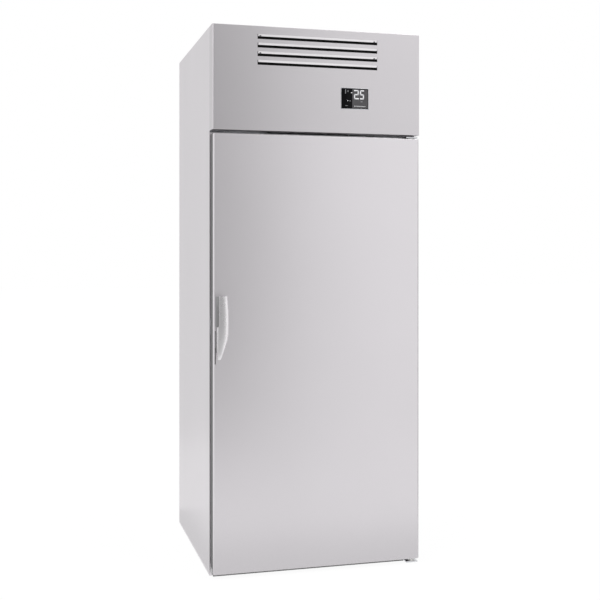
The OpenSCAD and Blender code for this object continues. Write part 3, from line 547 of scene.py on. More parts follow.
def blocks(name, finish, body, corners, width, segments, *stands_for):
    """A piece made of boxes with rounded edges."""
    made = bmesh.new()
    for low, high in corners:
        box_into(made, low, high)
    round_off(made, corners_of(made), width, segments)
    return keep_piece(made, name, finish, body, *stands_for)


print("pieces can be kept")

# %% Walls and soft edges


def modify(piece, kind, **settings):
    """Adds a modifier with its settings."""
    modifier = piece.modifiers.new(kind, kind)
    for key, value in settings.items():
        setattr(modifier, key, value)


def even_shading(piece):
    """Lets the large faces decide the shading, so that flat sheet stays flat next to its folds."""
    modify(piece, "WEIGHTED_NORMAL", keep_sharp=True, weight=100)


def thicken(piece, thickness):
    """Gives an open shell its thickness, inwards."""
    modify(piece, "SOLIDIFY", thickness=thickness * mm, offset=-1)


def sheet_wall(piece, thickness):
    """Turns an open shell into sheet."""
    thicken(piece, thickness)
    even_shading(piece)


def soft_edges(piece, width, segments, angle):
    """Rounds the sharp edges of a whole piece."""
    modify(piece, "BEVEL", width=width * mm, segments=segments, limit_method="ANGLE",
           angle_limit=math.radians(angle))


def softened(name, width, segments=2, angle=30, finish=None):
    """A copy of a CAD node whose edges are rounded off, as on folded or moulded parts."""
    made = bmesh.new()
    made.from_mesh(nodes[name].data)
    bmesh.ops.remove_doubles(made, verts=made.verts, dist=tiny)
    join_flat(made)
    piece = keep_piece(made, name + "_softened", finish or finish_of_node[name], body_of_node[name], name)
    soft_edges(piece, width, segments, angle)
    even_shading(piece)


print("CAD nodes can be softened")

# %% [markdown]
# ## The door's outer sheet
# The door's face is one sheet, folded back at both sides round a soft corner, and at its top and foot. A box
# without its back is the quickest start: its two upright front edges get the wide fold, the top and foot
# edges a tight one, and a Solidify modifier gives the sheet its thickness.

# %% Door skin


def folded_shell(low, high, fold, crease):
    """A box open at its back, with wide folds at its sides and tight ones above and below."""
    made = bmesh.new()
    box_into(made, low, high)
    back = [f for f in made.faces if f.normal.y > 0.9]
    bmesh.ops.delete(made, geom=back, context="FACES_ONLY")
    front_y = low[1] * mm + tiny
    upright = [e for e in made.edges
               if all(v.co.y < front_y for v in e.verts) and abs(e.verts[0].co.z - e.verts[1].co.z) > 0.1]
    round_off(made, upright, fold, 6)
    ends = [e for e in corners_of(made, 60) if abs(e.verts[0].co.z - e.verts[1].co.z) < 1e-5]
    round_off(made, ends, crease, 2)
    return made


side_fold = 8
door_low, door_high = box_mm("door_outer_skin")
door_shell = folded_shell(door_low, door_high, side_fold, 2.4)
sheet_wall(keep_piece(door_shell, "door_skin", "satin_steel_upright", "door", "door_outer_skin"), 1)
print("door skin:", [round(c) for c in door_high - door_low], "mm")

# %% [markdown]
# ## The head's front and its louvres
# The head's front is the same kind of folded sheet, with four long slots. The press cuts each slot along
# three sides and bends the fourth, the top one, back into the head, so that warm air leaves and nothing falls
# in. Here the front face is cut along the slots' edges, the faces inside are taken out, and each top edge is
# drawn back and down.

# %% Head front


def cut_front(made, normal, places):
    """Cuts the front face across a direction, at some places."""
    for place in places:
        faces = [f for f in made.faces if f.normal.y < -0.99]
        slice_at(made, faces, normal * place * mm, normal)


def open_window(made, x0, x1, z0, z1):
    """Takes out the front faces inside a window that cut_front has outlined."""
    inside = [f for f in made.faces if f.normal.y < -0.99
              and x0 * mm < f.calc_center_median().x < x1 * mm
              and z0 * mm < f.calc_center_median().z < z1 * mm]
    bmesh.ops.delete(made, geom=inside, context="FACES")


head_low, head_high = box_mm("fascia_panel")
head_shell = folded_shell(head_low, head_high, side_fold, 1.2)
louvre_height = 19.5
louvre_tops = [head_high.z - 32.5 - i * 34.4 for i in range(4)]
louvre_middle, louvre_half = -1.6, 252.5
louvre_left, louvre_right = louvre_middle - louvre_half, louvre_middle + louvre_half
glass_shift = Vector((2, 0, 0))
glass_low, glass_high = [corner - glass_shift for corner in box_mm("display_panel")]
cut_front(head_shell, Vector((1, 0, 0)), (louvre_left, glass_low.x, glass_high.x, louvre_right))
cut_front(head_shell, Vector((0, 0, 1)),
          [glass_low.z, glass_high.z] + [z - d for z in louvre_tops for d in (0, louvre_height)])
open_window(head_shell, glass_low.x, glass_high.x, glass_low.z, glass_high.z)
for top in louvre_tops:
    open_window(head_shell, louvre_left, louvre_right, top - louvre_height, top)
join_flat(head_shell)
head_front = keep_piece(head_shell, "head_front", "shaded_steel_across", "fascia", "fascia_panel", smooth=18)
sheet_wall(head_front, 1.5)
print("louvres at", [round(z, 1) for z in louvre_tops])

# %% Louvre lips
lip_left, lip_right = louvre_left + 3.5, louvre_right - 0.5
lip_profile = ((0.3, 0.9), (0.3, 0.2), (0.7, -0.5), (1.5, -1.6), (3.5, -7.8))
lips = bmesh.new()
for top in louvre_tops:
    edge = [lips.verts.new(Vector((lip_left, head_low.y + y, top + z)) * mm) for y, z in lip_profile]
    chain = [lips.edges.new(pair) for pair in zip(edge, edge[1:])]
    drawn = bmesh.ops.extrude_edge_only(lips, edges=chain)["geom"]
    shift(lips, (lip_right - lip_left, 0, 0), verts_in(drawn))
face_out(lips)
for face in lips.faces:
    if face.normal.y > 0:
        face.normal_flip()
# The lips are bent from the head's own sheet, but wear the brighter steel: a painted highlight.
sheet_wall(keep_piece(lips, "louvre_lips", "lip_steel_painted_highlight", "fascia"), 1.2)

clips = bmesh.new()
for top in louvre_tops[::2]:
    for x in (louvre_left + 12, louvre_right - 12):
        rod_into(clips, (x, head_low.y + 4.2, top - 6.4), (x, head_low.y + 1.6, top - 5.6), 4.2, 20, 3.4)
keep_piece(clips, "louvre_clips", "edge_plastic", "fascia")
print("lips:", len(louvre_tops), "from", lip_left, "to", lip_right)

# %% [markdown]
# ## The display
# The controller's front is a black glass with a grey window in it, let into the head and framed by a bright
# trim. The figures are lit bars behind the glass, so each one is a row of thin blocks, laid on a seven-bar
# plan. The rest are small lit signs: a dash, dots and a row of short strokes that say nothing.

# %% Dark glass and lit bars


def smooth_glass(name, colour, roughness):
    """Dark glass with faint finger smears in its roughness."""
    tree, shader = start_finish(name, Specular_IOR_Level=0.04, Coat_Weight=0.04, Coat_Roughness=0.04)
    smears = noise(tree, 22.0, 4.0, 0.7, (1, 1, 2.5))
    low = [c * 0.85 for c in colour]
    feed(tree, shader, Base_Color=ramp(tree, smears, [(0.35, low), (0.7, colour)]),
         Roughness=span(tree, smears, roughness, roughness + 0.08))


def lit_bars(name, colour, strength):
    """Bars that glow a little unevenly, as lamps behind a mask do."""
    tree, shader = start_finish(name, Roughness=0.4, Emission_Strength=strength)
    tone = ramp(tree, noise(tree, 160.0, 1.0), [(0.3, [c * 0.9 for c in colour]), (0.7, colour)])
    feed(tree, shader, Base_Color=tone, Emission_Color=tone)


smooth_glass("black_glass", (0.006, 0.006, 0.007), 0.06)
smooth_glass("window_glass", (0.10, 0.097, 0.102), 0.12)
lit_bars("lit_white", (0.74, 0.74, 0.76), 0.2)
lit_bars("lit_dim", (0.22, 0.22, 0.23), 0.1)
print("finishes:", len(finishes))

# %% Display glass
glass_width = glass_high.x - glass_low.x
glass_height = glass_high.z - glass_low.z
glass_face = glass_low.y


def on_glass(name, finish, rise, *places):
    """Thin blocks: left, top, right and bottom in shares of the glass, and perhaps a rise of their own."""
    made = bmesh.new()
    for left, top, right, bottom, *own_rise in places:
        front = glass_face - (own_rise[0] if own_rise else rise)
        box_into(made, (glass_low.x + left * glass_width, front, glass_high.z - bottom * glass_height),
                 (glass_low.x + right * glass_width, glass_face + 0.2, glass_high.z - top * glass_height))
    keep_piece(made, name, finish, "fascia")


pane = bmesh.new()
box_into(pane, glass_low, glass_high)
round_off(pane, [e for e in corners_of(pane) if all(v.co.y < glass_face * mm + tiny for v in e.verts)], 0.5)
keep_piece(pane, "display_glass", "black_glass", "fascia", "display_panel")
on_glass("display_window", "window_glass", 0.15, (0.405, 0.035, 0.98, 0.965))

trim_wide = 2.2
frame_low = glass_low - Vector((trim_wide, 0, trim_wide))
frame_high = glass_high + Vector((trim_wide, 0, trim_wide))
trim = bmesh.new()
for x0, z0, x1, z1 in ((frame_low.x, frame_low.z, glass_low.x, frame_high.z),
                       (glass_high.x, frame_low.z, frame_high.x, frame_high.z),
                       (glass_low.x, frame_low.z, glass_high.x, glass_low.z),
                       (glass_low.x, glass_high.z, glass_high.x, frame_high.z)):
    box_into(trim, (x0, glass_face - 0.2, z0), (x1, head_low.y + 0.3, z1))
round_off(trim, [e for e in corners_of(trim) if all(v.co.y < (glass_face - 0.19) * mm for v in e.verts)], 0.5)
keep_piece(trim, "display_trim", "plated_steel", "fascia")
print("display:", round(glass_width), "x", round(glass_height), "mm")

# %% Figures and signs


def figure(bars, left, top, right, bottom, stroke=0.058):
    """The places of the bars of one seven-bar figure."""
    middle = (top + bottom) / 2
    across = stroke * glass_height / glass_width
    half = stroke / 2
    plan = {"a": (left, top, right, top + stroke), "b": (right - across, top, right, middle + half),
            "c": (right - across, middle - half, right, bottom), "d": (left, bottom - stroke, right, bottom),
            "e": (left, middle - half, left + across, bottom), "f": (left, top, left + across, middle + half),
            "g": (left, middle - half, right, middle + half)}
    return [plan[bar] for bar in bars]


strokes = [(left, 0.856, left + 0.026, 0.889) for left in (0.48 + 0.048 * i for i in range(9))]
on_glass("display_figures", "lit_white", 0.35, *figure("abged", 0.47, 0.07, 0.645, 0.525),
         *figure("afgcd", 0.69, 0.07, 0.84, 0.525), (0.355, 0.195, 0.405, 0.235), (0.225, 0.59, 0.252, 0.63),
         *strokes)
on_glass("display_signs", "lit_dim", 0.3, (0.145, 0.06, 0.17, 0.27), (0.235, 0.10, 0.262, 0.19),
         (0.30, 0.60, 0.345, 0.632), (0.715, 0.62, 0.785, 0.665, 0.35),
         (0.14, 0.845, 0.24, 0.865))
print("strokes under the figures:", len(strokes))

# %% [markdown]
# ## The handle
# The handle is cast in one piece. Its outline is half a leaf: straight on the left, widest above its middle,
# drawn to a tip below. The upper half is only a shell over the fingers, open at the left and the top, and the
# lower half is closed. A box that is cut into slices can be drawn to the outline row by row. Its left, back
# and top come off, its long right edge gets a wide rounding, and Solidify turns it into the shell. A smaller
# one fills the lower half.

# %% The leaf
grip_low, grip_high = box_mm("handle_grip")
grip_height = grip_high.z - grip_low.z
leaf_outline = ((0, 9), (0.05, 14.5), (0.12, 21.5), (0.2, 29.5), (0.27, 35.5), (0.34, 40.5), (0.39, 43),
                (0.45, 44), (0.6, 44), (0.75, 43.5), (0.9, 41), (1, 39.5))
leaf_side = ((0, 39), (0.02, 43), (0.06, 45.5), (0.13, 46.5), (0.22, 47.5), (0.35, 49), (0.53, 50), (0.8, 49),
             (1, 47))
leaf_back = ((0, 34), (0.05, 27), (0.12, 15), (0.18, 6), (0.22, 0), (1, 0))


def along_table(table, u):
    """The value at u of a curve that is given as a few points."""
    for (u0, w0), (u1, w1) in zip(table, table[1:]):
        if u <= u1 + tiny:
            return w0 + (w1 - w0) * (u - u0) / (u1 - u0)


def leaf_block(bottom, top, inset, slices):
    """A closed block with the leaf's outline, drawn in by an inset, between two shares of its height."""
    made = bmesh.new()
    z0 = grip_low.z + bottom * grip_height
    z1 = grip_low.z + top * grip_height
    box_into(made, (grip_low.x, grip_low.y, z0), (grip_high.x, grip_high.y, z1))
    for i in range(1, slices):
        slice_at(made, made.faces[:], (0, 0, (z0 + (z1 - z0) * i / slices) * mm), (0, 0, 1))
    for v in made.verts:
        u = (v.co.z / mm - grip_low.z) / grip_height
        if abs(v.co.x - grip_high.x * mm) < tiny:
            v.co.x = (grip_low.x + along_table(leaf_outline, u) - inset) * mm
        if abs(v.co.y - grip_low.y * mm) < tiny:
            v.co.y = (door_low.y - along_table(leaf_side, u) + inset) * mm
        else:
            v.co.y = min(grip_high.y, door_low.y - along_table(leaf_back, u)) * mm
    return made


print("handle:", round(grip_height), "mm tall")

# %% Handle
bolt_low, bolt_high = box_mm("latch_bolt")
recess_floor = (bolt_low.z + bolt_high.z) / 2
left_limit = grip_low.x * mm + tiny
shell = leaf_block(0.03, 1, 0, 20)
spare = [f for f in shell.faces if f.normal.x < -0.9 or f.normal.y > 0.9 or f.normal.z > 0.9]
bmesh.ops.delete(shell, geom=spare, context="FACES")
shift(shell, (5, 0, 0), [v for v in shell.verts if v.co.x < left_limit and v.co.z > recess_floor * mm])
ridge = [e for e in corners_of(shell, 50) if abs(e.verts[0].co.z - e.verts[1].co.z) > 0.001]
bmesh.ops.bevel(shell, geom=ridge, offset=30, offset_type="PERCENT", affect="EDGES", segments=6,
                profile=0.5, material=-1)
handle_shell = keep_piece(shell, "handle_shell", "cast_alloy", "handle", "handle_grip", smooth=40)
thicken(handle_shell, 6)
soft_edges(handle_shell, 1.2, 2, 50)

lower = leaf_block(0.045, (recess_floor - grip_low.z) / grip_height, 4, 12)
shift(lower, (0.7, 0, 0), [v for v in lower.verts if v.co.x < left_limit])
round_off(lower, corners_of(lower, 60), 1.2)
keep_piece(lower, "handle_lower_half", "cast_alloy", "handle", smooth=40)
# The base is a darker grey than the cast handle: painted shade in the recess behind the grip.
softened("handle_base", 0.8, finish="recess_shade_grey")
softened("handle_pin", 0.5)

# A strip of black rubber along the handle's left edge, and past its tip, is painted shadow: the handle's
# shadow on the door.
shadow_pad_rows = ((-4.8, grip_low.z - 14, -1.2, grip_low.z + 52), (-4.2, grip_low.z + 51, -1.8, recess_floor - 16))
blocks("handle_shadow_pad", "black_rubber", "door",
       [((grip_low.x + x0, door_low.y - 1.0, z0), (grip_low.x + x1, door_low.y + 0.2, z1))
        for x0, z0, x1, z1 in shadow_pad_rows], 0.4, 2)
print("recess from z", round(recess_floor))

# %% [markdown]
# ## The door's edge, gasket and sweep
# Behind the folded steel, the door's edge is a band of grey plastic, because steel from front to back would
# carry the cold out, and a paler cap ends it at the foot. On the door's back sits the gasket. Its outline is
# drawn once: a flat foot that is pressed into the door, two soft pleats, and a hollow bulb with a magnet in
# it. The outline is extruded along each side, and each run is cut at 45 degrees, so that the runs meet like a
# picture frame.

# %% Door edge
face_wide = 11
proud = 0.4
# On the right the band stands further out, so that its dark plastic paints a thin line of shade along the
# door's right edge.
shade_line_proud = 2.6
cap_proud = 1.8
door_back = door_high.y + 0.6
band = bmesh.new()
box_into(band, (door_low.x - proud, door_low.y + face_wide, door_low.z - proud),
         (door_high.x + shade_line_proud, door_back, door_high.z + proud))
bmesh.ops.delete(band, geom=[f for f in band.faces if abs(f.normal.y) > 0.9], context="FACES")
sheet_wall(keep_piece(band, "door_edge_band", "edge_plastic", "door"), 1.2)
blocks("door_corner_cap", "pale_coat", "door",
       [((door_low.x - cap_proud, door_low.y + face_wide + 0.5, door_low.z - cap_proud),
         (door_low.x + 9, door_back, door_low.z + 21))], 0.5, 2)
print("edge band:", round(door_back - door_low.y - face_wide, 1), "mm wide")

# %% Gasket
seal_low, seal_high = box_mm("door_gasket")
seal_outline = ((1, 0), (19, 0), (19, 1.5), (16.5, 2.2), (18.2, 4.0), (16, 5.4), (18, 7.0), (18, 10.6),
                (17, 11.7), (3, 11.7), (2, 10.6), (2, 7.0), (4, 5.4), (1.8, 4.0), (3.5, 2.2), (1, 1.5))


def seal_run(made, corner, inward, along, cuts):
    """One straight run of the gasket, with mitres where it meets the next."""
    outline = [made.verts.new((corner + inward * u + Vector((0, v, 0))) * mm) for u, v in seal_outline]
    end_face = made.faces.new(outline)
    run = bmesh.ops.extrude_face_region(made, geom=[end_face])["geom"]
    shift(made, along, verts_in(run))
    faces = joined_to(outline + verts_in(run), "faces")
    for place, away in cuts:
        faces = faces_in(slice_at(made, faces, place * mm, away, clear_outer=True))


seal = bmesh.new()
left_top = Vector((seal_low.x, seal_low.y, seal_high.z))
right_top = Vector((seal_high.x, seal_low.y, seal_high.z))
drop = Vector((0, 0, seal_high.z - seal_low.z))
seal_run(seal, left_top - drop, Vector((1, 0, 0)), drop, [(left_top, Vector((1, 0, 1)))])
seal_run(seal, right_top - drop, Vector((-1, 0, 0)), drop, [(right_top, Vector((-1, 0, 1)))])
seal_run(seal, left_top, Vector((0, 0, -1)), right_top - left_top,
         [(left_top, Vector((-1, 0, -1))), (right_top, Vector((1, 0, -1)))])
bmesh.ops.remove_doubles(seal, verts=seal.verts, dist=1e-5)
face_out(seal)
print("open edges on the gasket:", sum(e.is_boundary for e in seal.edges))
keep_piece(seal, "door_seal", "grey_rubber", "door", "door_gasket", smooth=50)

# %% [markdown]
# ## Pivots and latch
# The door turns on two pins, one in the gap above it and one under its foot. Bushes in the door turn on them.
# These and the parts of the latch are simple turned or bent parts, so the CAD shape is right, and only its
# edges are softened. The foot rail and the rubber sweep close the door's lower edge.

# %% Pivots, latch and sweep
softened("door_foot_rail", 0.5)
softened("door_sweep", 0.8, finish="pale_rubber")
for name, width in (("top_hinge_bracket", 0.6), ("bottom_hinge_bracket", 0.6), ("hinge_screws", 0.4),
                    ("strike_plate", 0.4), ("latch_bolt", 0.8), ("release_knob", 1.5), ("latch_case", 0.5)):
    softened(name, width)
softened("hinge_bushes", 0.5, finish="white_plastic")
bush_low, bush_high = box_mm("hinge_bushes")
print("pivot at", [round(c, 1) for c in (bush_low + bush_high) / 2])

# %% [markdown]
# ## Inside the bay
# The bay is lined with smooth bright steel. Bumper rails keep the trolley off the walls, wheel guides lead it
# in, and cold air comes down through the slotted duct panel. Most of this is bent sheet and rod, which the
# CAD shape gives, so its edges are softened and its finish does the rest.

# %% Bay fittings
for name, width in (("air_duct_panel", 0.6), ("wheel_guides", 2.0), ("floor_pan", 0.8),
                    ("temperature_probe", 0.5), ("door_inner_liner", 0.5), ("breaker_strip", 0.8),
                    ("base_rails", 0.6), ("front_frame", 0.4), ("left_side_skin", 0.5),
                    ("right_side_skin", 0.5), ("rear_skin", 0.4)):
    softened(name, width)
# The near-black filter also paints the shade behind the louvres.
softened("air_filter", 0.4, 1, finish="filter_painted_shade_black")
print("bay fittings softened")

# %% [markdown]
# ## The collar of the air opening
# The fans blow through an opening in the ceiling. A thin steel collar lines it, so that no foam is bare
# there: an open box without top and bottom, given its thickness by Solidify, and a flat flange on the three
# sides that show.

# %% Air collar
housing_low, housing_high = box_mm("evaporator_housing")
housing_wall = Vector((30, 30, 0))
ceiling_z = box_mm("inner_liner")[1].z - 1
collar_low = housing_low + housing_wall
collar_high = housing_high - housing_wall
collar_low.z = ceiling_z - 1
collar_high.z = box_mm("evap_fan_plate")[0].z
lining = bmesh.new()
box_into(lining, collar_low, collar_high)
bmesh.ops.delete(lining, geom=[f for f in lining.faces if abs(f.normal.z) > 0.9], context="FACES")
sheet_wall(keep_piece(lining, "air_collar", "inner_steel", "cabinet"), 1.0)

flange = 14
flange_back = box_mm("air_duct_panel")[0].y - 2
flange_rows = ((collar_low.x - flange, collar_low.y - flange, collar_high.x + flange, collar_low.y + 0.5),
               (collar_low.x - flange, collar_low.y + 0.5, collar_low.x + 0.5, flange_back),
               (collar_high.x - 0.5, collar_low.y + 0.5, collar_high.x + flange, flange_back))
blocks("air_collar_flange", "inner_steel", "cabinet",
       [((x0, y0, ceiling_z - 1.2), (x1, y1, ceiling_z - 0.1)) for x0, y0, x1, y1 in flange_rows], 0.4, 2)
print("air opening:", round(collar_high.x - collar_low.x), "x", round(collar_high.y - collar_low.y), "mm")

# %% [markdown]
# ## The lamp
# The lamp over the door is a white tray with a half-round cover. The cover starts as a rod: a plane cuts its
# upper half off, the cut is closed, and two end caps hold it.

# %% Lamp
lamp_low, lamp_high = box_mm("interior_lamp")
lamp_y = (lamp_low.y + lamp_high.y) / 2
cover_top = lamp_high.z - 4
end_cap = 9
blocks("lamp_tray", "white_plastic", "cabinet",
       [((lamp_low.x, lamp_low.y, lamp_high.z - 5), lamp_high)]
       + [((x, lamp_low.y + 1, lamp_low.z), (x + end_cap, lamp_high.y - 1, cover_top))
          for x in (lamp_low.x, lamp_high.x - end_cap)], 1.0, 2, "interior_lamp")

cover = bmesh.new()
rod_into(cover, (lamp_low.x + 8, lamp_y, cover_top), (lamp_high.x - 8, lamp_y, cover_top), 13.5, 32)
slice_at(cover, cover.faces[:], (0, 0, cover_top * mm), (0, 0, 1), clear_outer=True)
bmesh.ops.scale(cover, vec=(1, 1, 0.8), verts=cover.verts, space=Matrix.Translation((0, 0, -cover_top * mm)))
bmesh.ops.holes_fill(cover, edges=[e for e in cover.edges if e.is_boundary], sides=0)
keep_piece(cover, "lamp_diffuser", "lamp_cover", "cabinet")
print("lamp:", round(lamp_high.x - lamp_low.x), "mm long")

# %% [markdown]
# ## Screws
# Sheet-metal covers are held by screws with a six-sided head on a small washer. One helper sets a row of them
# on any face: it needs their places and the direction in which their heads point.

# %% Screws
head_size = 4.0


def hex_screws(name, places, direction):
    """A set of hexagon screw heads, each with its washer."""
    made = bmesh.new()
    out = Vector(direction)
    for place in places:
        place = Vector(place)
        rod_into(made, place - out * 0.3, place + out * 0.8, head_size * 1.35, 20)
        head = rod_into(made, place + out * 0.7, place + out * (0.8 + head_size * 0.6), head_size, 6)
        top = [e for e in made.edges if all(v in head for v in e.verts)
               and all((v.co - place * mm).dot(out) > head_size * 0.6 * mm for v in e.verts)]
        round_off(made, top, 0.5)
    keep_piece(made, name, "plated_steel", "cabinet", smooth=30)


vent_low, vent_high = box_mm("rear_vent_panel")
middle_row = 1985
side_rows = (vent_low.z + 16, middle_row, vent_high.z - 14)
rear_places = [(x, vent_high.y, z) for x in (vent_low.x + 14, vent_high.x - 14) for z in side_rows]
rear_places += [(x, vent_high.y, z) for x in (-150, 150) for z in side_rows[::2]]
hex_screws("rear_panel_screws", rear_places, (0, 1, 0))
print("rear panel:", len(rear_places), "screws")

# %% [markdown]
# ## Coils
# A cooling coil is a copper tube that runs to and fro through a stack of thin aluminium fins, between two
# plates. One fin and an Array modifier make the stack, and each return bend is a circle that is spun through
# half a turn.

# %% Coils
fin_step = 3.2
fin_thick = 0.35
coil_tube = 4.5
coil_margin = 10


def coil(name, bends):
    """Fins, end plates and return bends in the place of a CAD coil."""
    low, high = box_mm(name)
    pitch = (high.z - low.z - 2 * coil_margin) / bends
    over = pitch / 4 + coil_tube
    left, right = low.x + over, high.x - over
    front, rear = low.y + 4, high.y - 4
    fin = bmesh.new()
    box_into(fin, (left + 3, front, low.z + 4), (left + 3 + fin_thick, rear, high.z - 4))
    count = int((right - left - 6) / fin_step)
    fins = keep_piece(fin, name + "_fins", "fin_aluminium", "cabinet", name)
    modify(fins, "ARRAY", use_relative_offset=False, use_constant_offset=True,
           constant_offset_displace=(fin_step * mm, 0, 0), count=count)
    blocks(name + "_plates", "galvanised_sheet", "cabinet",
           [((x, low.y, low.z), (x + 2, high.y, high.z)) for x in (left, right - 2)]
           + [((left + 1, front, z), (right - 1, rear, z + 1.5)) for z in (high.z - 4, low.z + 2.5)], 0.4, 1)
    tubes = bmesh.new()
    for side, x in ((-1, left), (1, right)):
        for i in range(bends):
            centre = Vector((x, (front + rear) / 2, low.z + coil_margin + (i + 0.5) * pitch)) * mm
            ring_half_turn(tubes, centre, pitch / 4, side)
    face_out(tubes)
    keep_piece(tubes, name + "_bends", "copper_tube", "cabinet", smooth=60)
    print(name, "fins:", count, "bends:", 2 * bends)


def ring_half_turn(made, centre, radius, side):
    """A return bend: a circle below its centre, spun through half a turn."""
    ring = bmesh.ops.create_circle(made, cap_ends=False, segments=12, radius=coil_tube * mm)["verts"]
    below = Matrix.Translation(centre + Vector((0, 0, -radius * mm)))
    bmesh.ops.transform(made, verts=ring, matrix=below @ Matrix.Rotation(math.radians(90), 4, "Y"))
    bmesh.ops.spin(made, geom=ring + joined_to(ring, "edges"), cent=centre, axis=(0, -side, 0),
                   dvec=(0, 0, 0), angle=math.pi, steps=10, use_merge=False, use_duplicate=False)


coil("condenser_coil", 6)
coil("evaporator_coil", 4)

# %% [markdown]
# ## Fans
# A fan blade is twisted and cambered, wider at its tip than at its root. A small grid is bent into that form,
# the blade is copied round the hub, and the hub itself is a turned profile, spun a full turn.

# %% Turned shapes and fan blades


def spin_round(made, geom, centre, steps):
    """Spins a line through a full turn round an upright axis."""
    bmesh.ops.spin(made, geom=geom, cent=centre, axis=(0, 0, 1), dvec=(0, 0, 0), angle=2 * math.pi,
                   steps=steps, use_merge=True, use_duplicate=False)


def lathe(made, profile, steps=40):
    """Spins a profile of (radius, height) points round the Z axis. The result stands at the origin."""
    points = [made.verts.new((radius * mm, 0, height * mm)) for radius, height in profile]
    edges = [made.edges.new(pair) for pair in zip(points, points[1:])]
    before = set(made.verts)
    spin_round(made, points + edges, (0, 0, 0), steps)
    turned = [v for v in made.verts if v not in before or v in points]
    bmesh.ops.remove_doubles(made, verts=turned, dist=tiny)
    return [v for v in turned if v.is_valid]


def fan_blade(made, radius, hub, depth, chord):
    """One thick, twisted blade that points along X. Returns its vertices."""
    blade = bmesh.ops.create_grid(made, x_segments=8, y_segments=6, size=0.5)["verts"]
    for v in blade:
        out, across = v.co.x + 0.5, v.co.y
        edge = (2 * across) ** 2
        reach = hub - 2 + (radius - hub + 1) * out
        wide = chord * (0.62 + 0.38 * out) * (1 - 0.35 * max(0, out - 0.8) * 5 * edge)
        lift = across * (depth - 5) * (1 - 0.25 * out) + 3.0 * (1 - edge)
        v.co = Vector((reach, across * wide + 0.10 * chord * out, lift - depth / 2)) * mm
        too_far = math.hypot(v.co.x, v.co.y) / (radius * mm)
        if too_far > 1:
            v.co.x /= too_far
            v.co.y /= too_far
    faces = joined_to(blade, "faces")
    bmesh.ops.recalc_face_normals(made, faces=faces)
    wall = bmesh.ops.solidify(made, geom=faces, thickness=1.6 * mm)["geom"]
    return list(dict.fromkeys([v for f in faces_in(wall) for v in f.verts] + blade))


print("blades can be bent")

# %% Fans
blade_count = 5
shaft_gap = 0.3


def rotor(name, node_name, place, finish, radius, hub, depth, chord):
    """A fan rotor whose hub ends below its place, with its axis along the place's Z."""
    made = bmesh.new()
    lathe(made, ((0, -depth), (hub - 5, -depth), (hub - 1, -depth + 3), (hub, -depth + 7), (hub, -0.6),
                 (hub - 1, 0), (4, 0), (4, 14), (0, 14)))
    face_out(made)
    for i in range(blade_count):
        turn_by(made, 360 * i / blade_count, "Z", fan_blade(made, radius, hub, depth, chord))
    bmesh.ops.transform(made, matrix=place, verts=made.verts)
    keep_piece(made, name, finish, name, node_name, smooth=50)


back_to_front = Matrix.Rotation(math.radians(-90), 4, "X")
fan_low, fan_high = box_mm("condenser_shroud")
fan_x, fan_z = (fan_low.x + fan_high.x) / 2, (fan_low.z + fan_high.z) / 2
fan_place = Matrix.Translation(Vector((fan_x, fan_high.y - shaft_gap, fan_z)) * mm) @ back_to_front
rotor("condenser_rotor", "condenser_fan", fan_place, "fin_aluminium",
      radius=119.5, hub=36, depth=25.5, chord=92)
motor_foot = box_mm("evap_fan_motors")[0].z
evap_places = []
for side in ("left", "right"):
    low, high = box_mm("evap_fan_" + side)
    evap_places.append(Vector((high.x - 70, (low.y + high.y) / 2, motor_foot)))
    below = Matrix.Translation((evap_places[-1] - Vector((0, 0, shaft_gap))) * mm)
    rotor("evap_rotor_" + side, "evap_fan_" + side, below, "dark_plastic",
          radius=69.5, hub=24, depth=23.5, chord=58)
print("rotors:", 1 + len(evap_places))

# %% [markdown]
# ## Compressor
# A compressor is a steel pot in two halves with a weld seam round its waist. Its outline is a profile that is
# spun round the upright axis. The bosses, the base plate and the terminal box are simple shapes with rounded
# edges.

# %% Compressor
comp_low, comp_high = box_mm("compressor")
pot_foot = Vector((comp_high.x - 88, comp_high.y - 85, comp_low.z))
pot_x, pot_y, plate_z = pot_foot
gas_x, gas_z = pot_x - 30, plate_z + 100
terminal_x = pot_x - 92
pot = bmesh.new()
lathe(pot, ((0, 0), (46, 2), (68, 9), (80, 22), (85, 40), (85, 118), (88, 120), (88, 127), (85, 129),
            (84.5, 168), (80, 187), (68, 201), (46, 208), (16, 210), (0, 210)), 64)
face_out(pot)
shift(pot, pot_foot, pot.verts)
rods_into(pot, pot_foot, ((0, 0, 205), (0, 0, comp_high.z - plate_z), 8, 20),
          ((0, 0, 205), (0, 0, 212), 13, 24),
          ((-30, -78, 100), (-30, comp_low.y - pot_y, 100), 5, 16),
          ((-30, -78, 100), (-30, -86, 100), 9, 24))
keep_piece(pot, "compressor_pot", "black_enamel", "cabinet", "compressor", smooth=40)
print("compressor:", round(comp_high.z - comp_low.z), "mm high")

# %% Compressor's base, terminal box and nuts
base_half, base_thick = Vector((88, 70, 0)), Vector((0, 0, 4))
base = bmesh.new()
box_into(base, pot_foot - base_half, pot_foot + base_half + base_thick)
round_off(base, [e for e in base.edges if abs((e.verts[0].co - e.verts[1].co).z) > 0.003], 14, 6)
round_off(base, corners_of(base, 60), 1)
keep_piece(base, "compressor_base", "black_enamel", "cabinet")

terminal = bmesh.new()
box_into(terminal, (pot_x - 107, pot_y - 26, plate_z + 70), (pot_x - 76, pot_y + 26, plate_z + 136))
round_off(terminal, corners_of(terminal), 4, 3)
rods_into(terminal, pot_foot, ((-92, 0, 60), (-92, 0, 72), 6, 20))
keep_piece(terminal, "terminal_box", "dark_plastic", "cabinet")

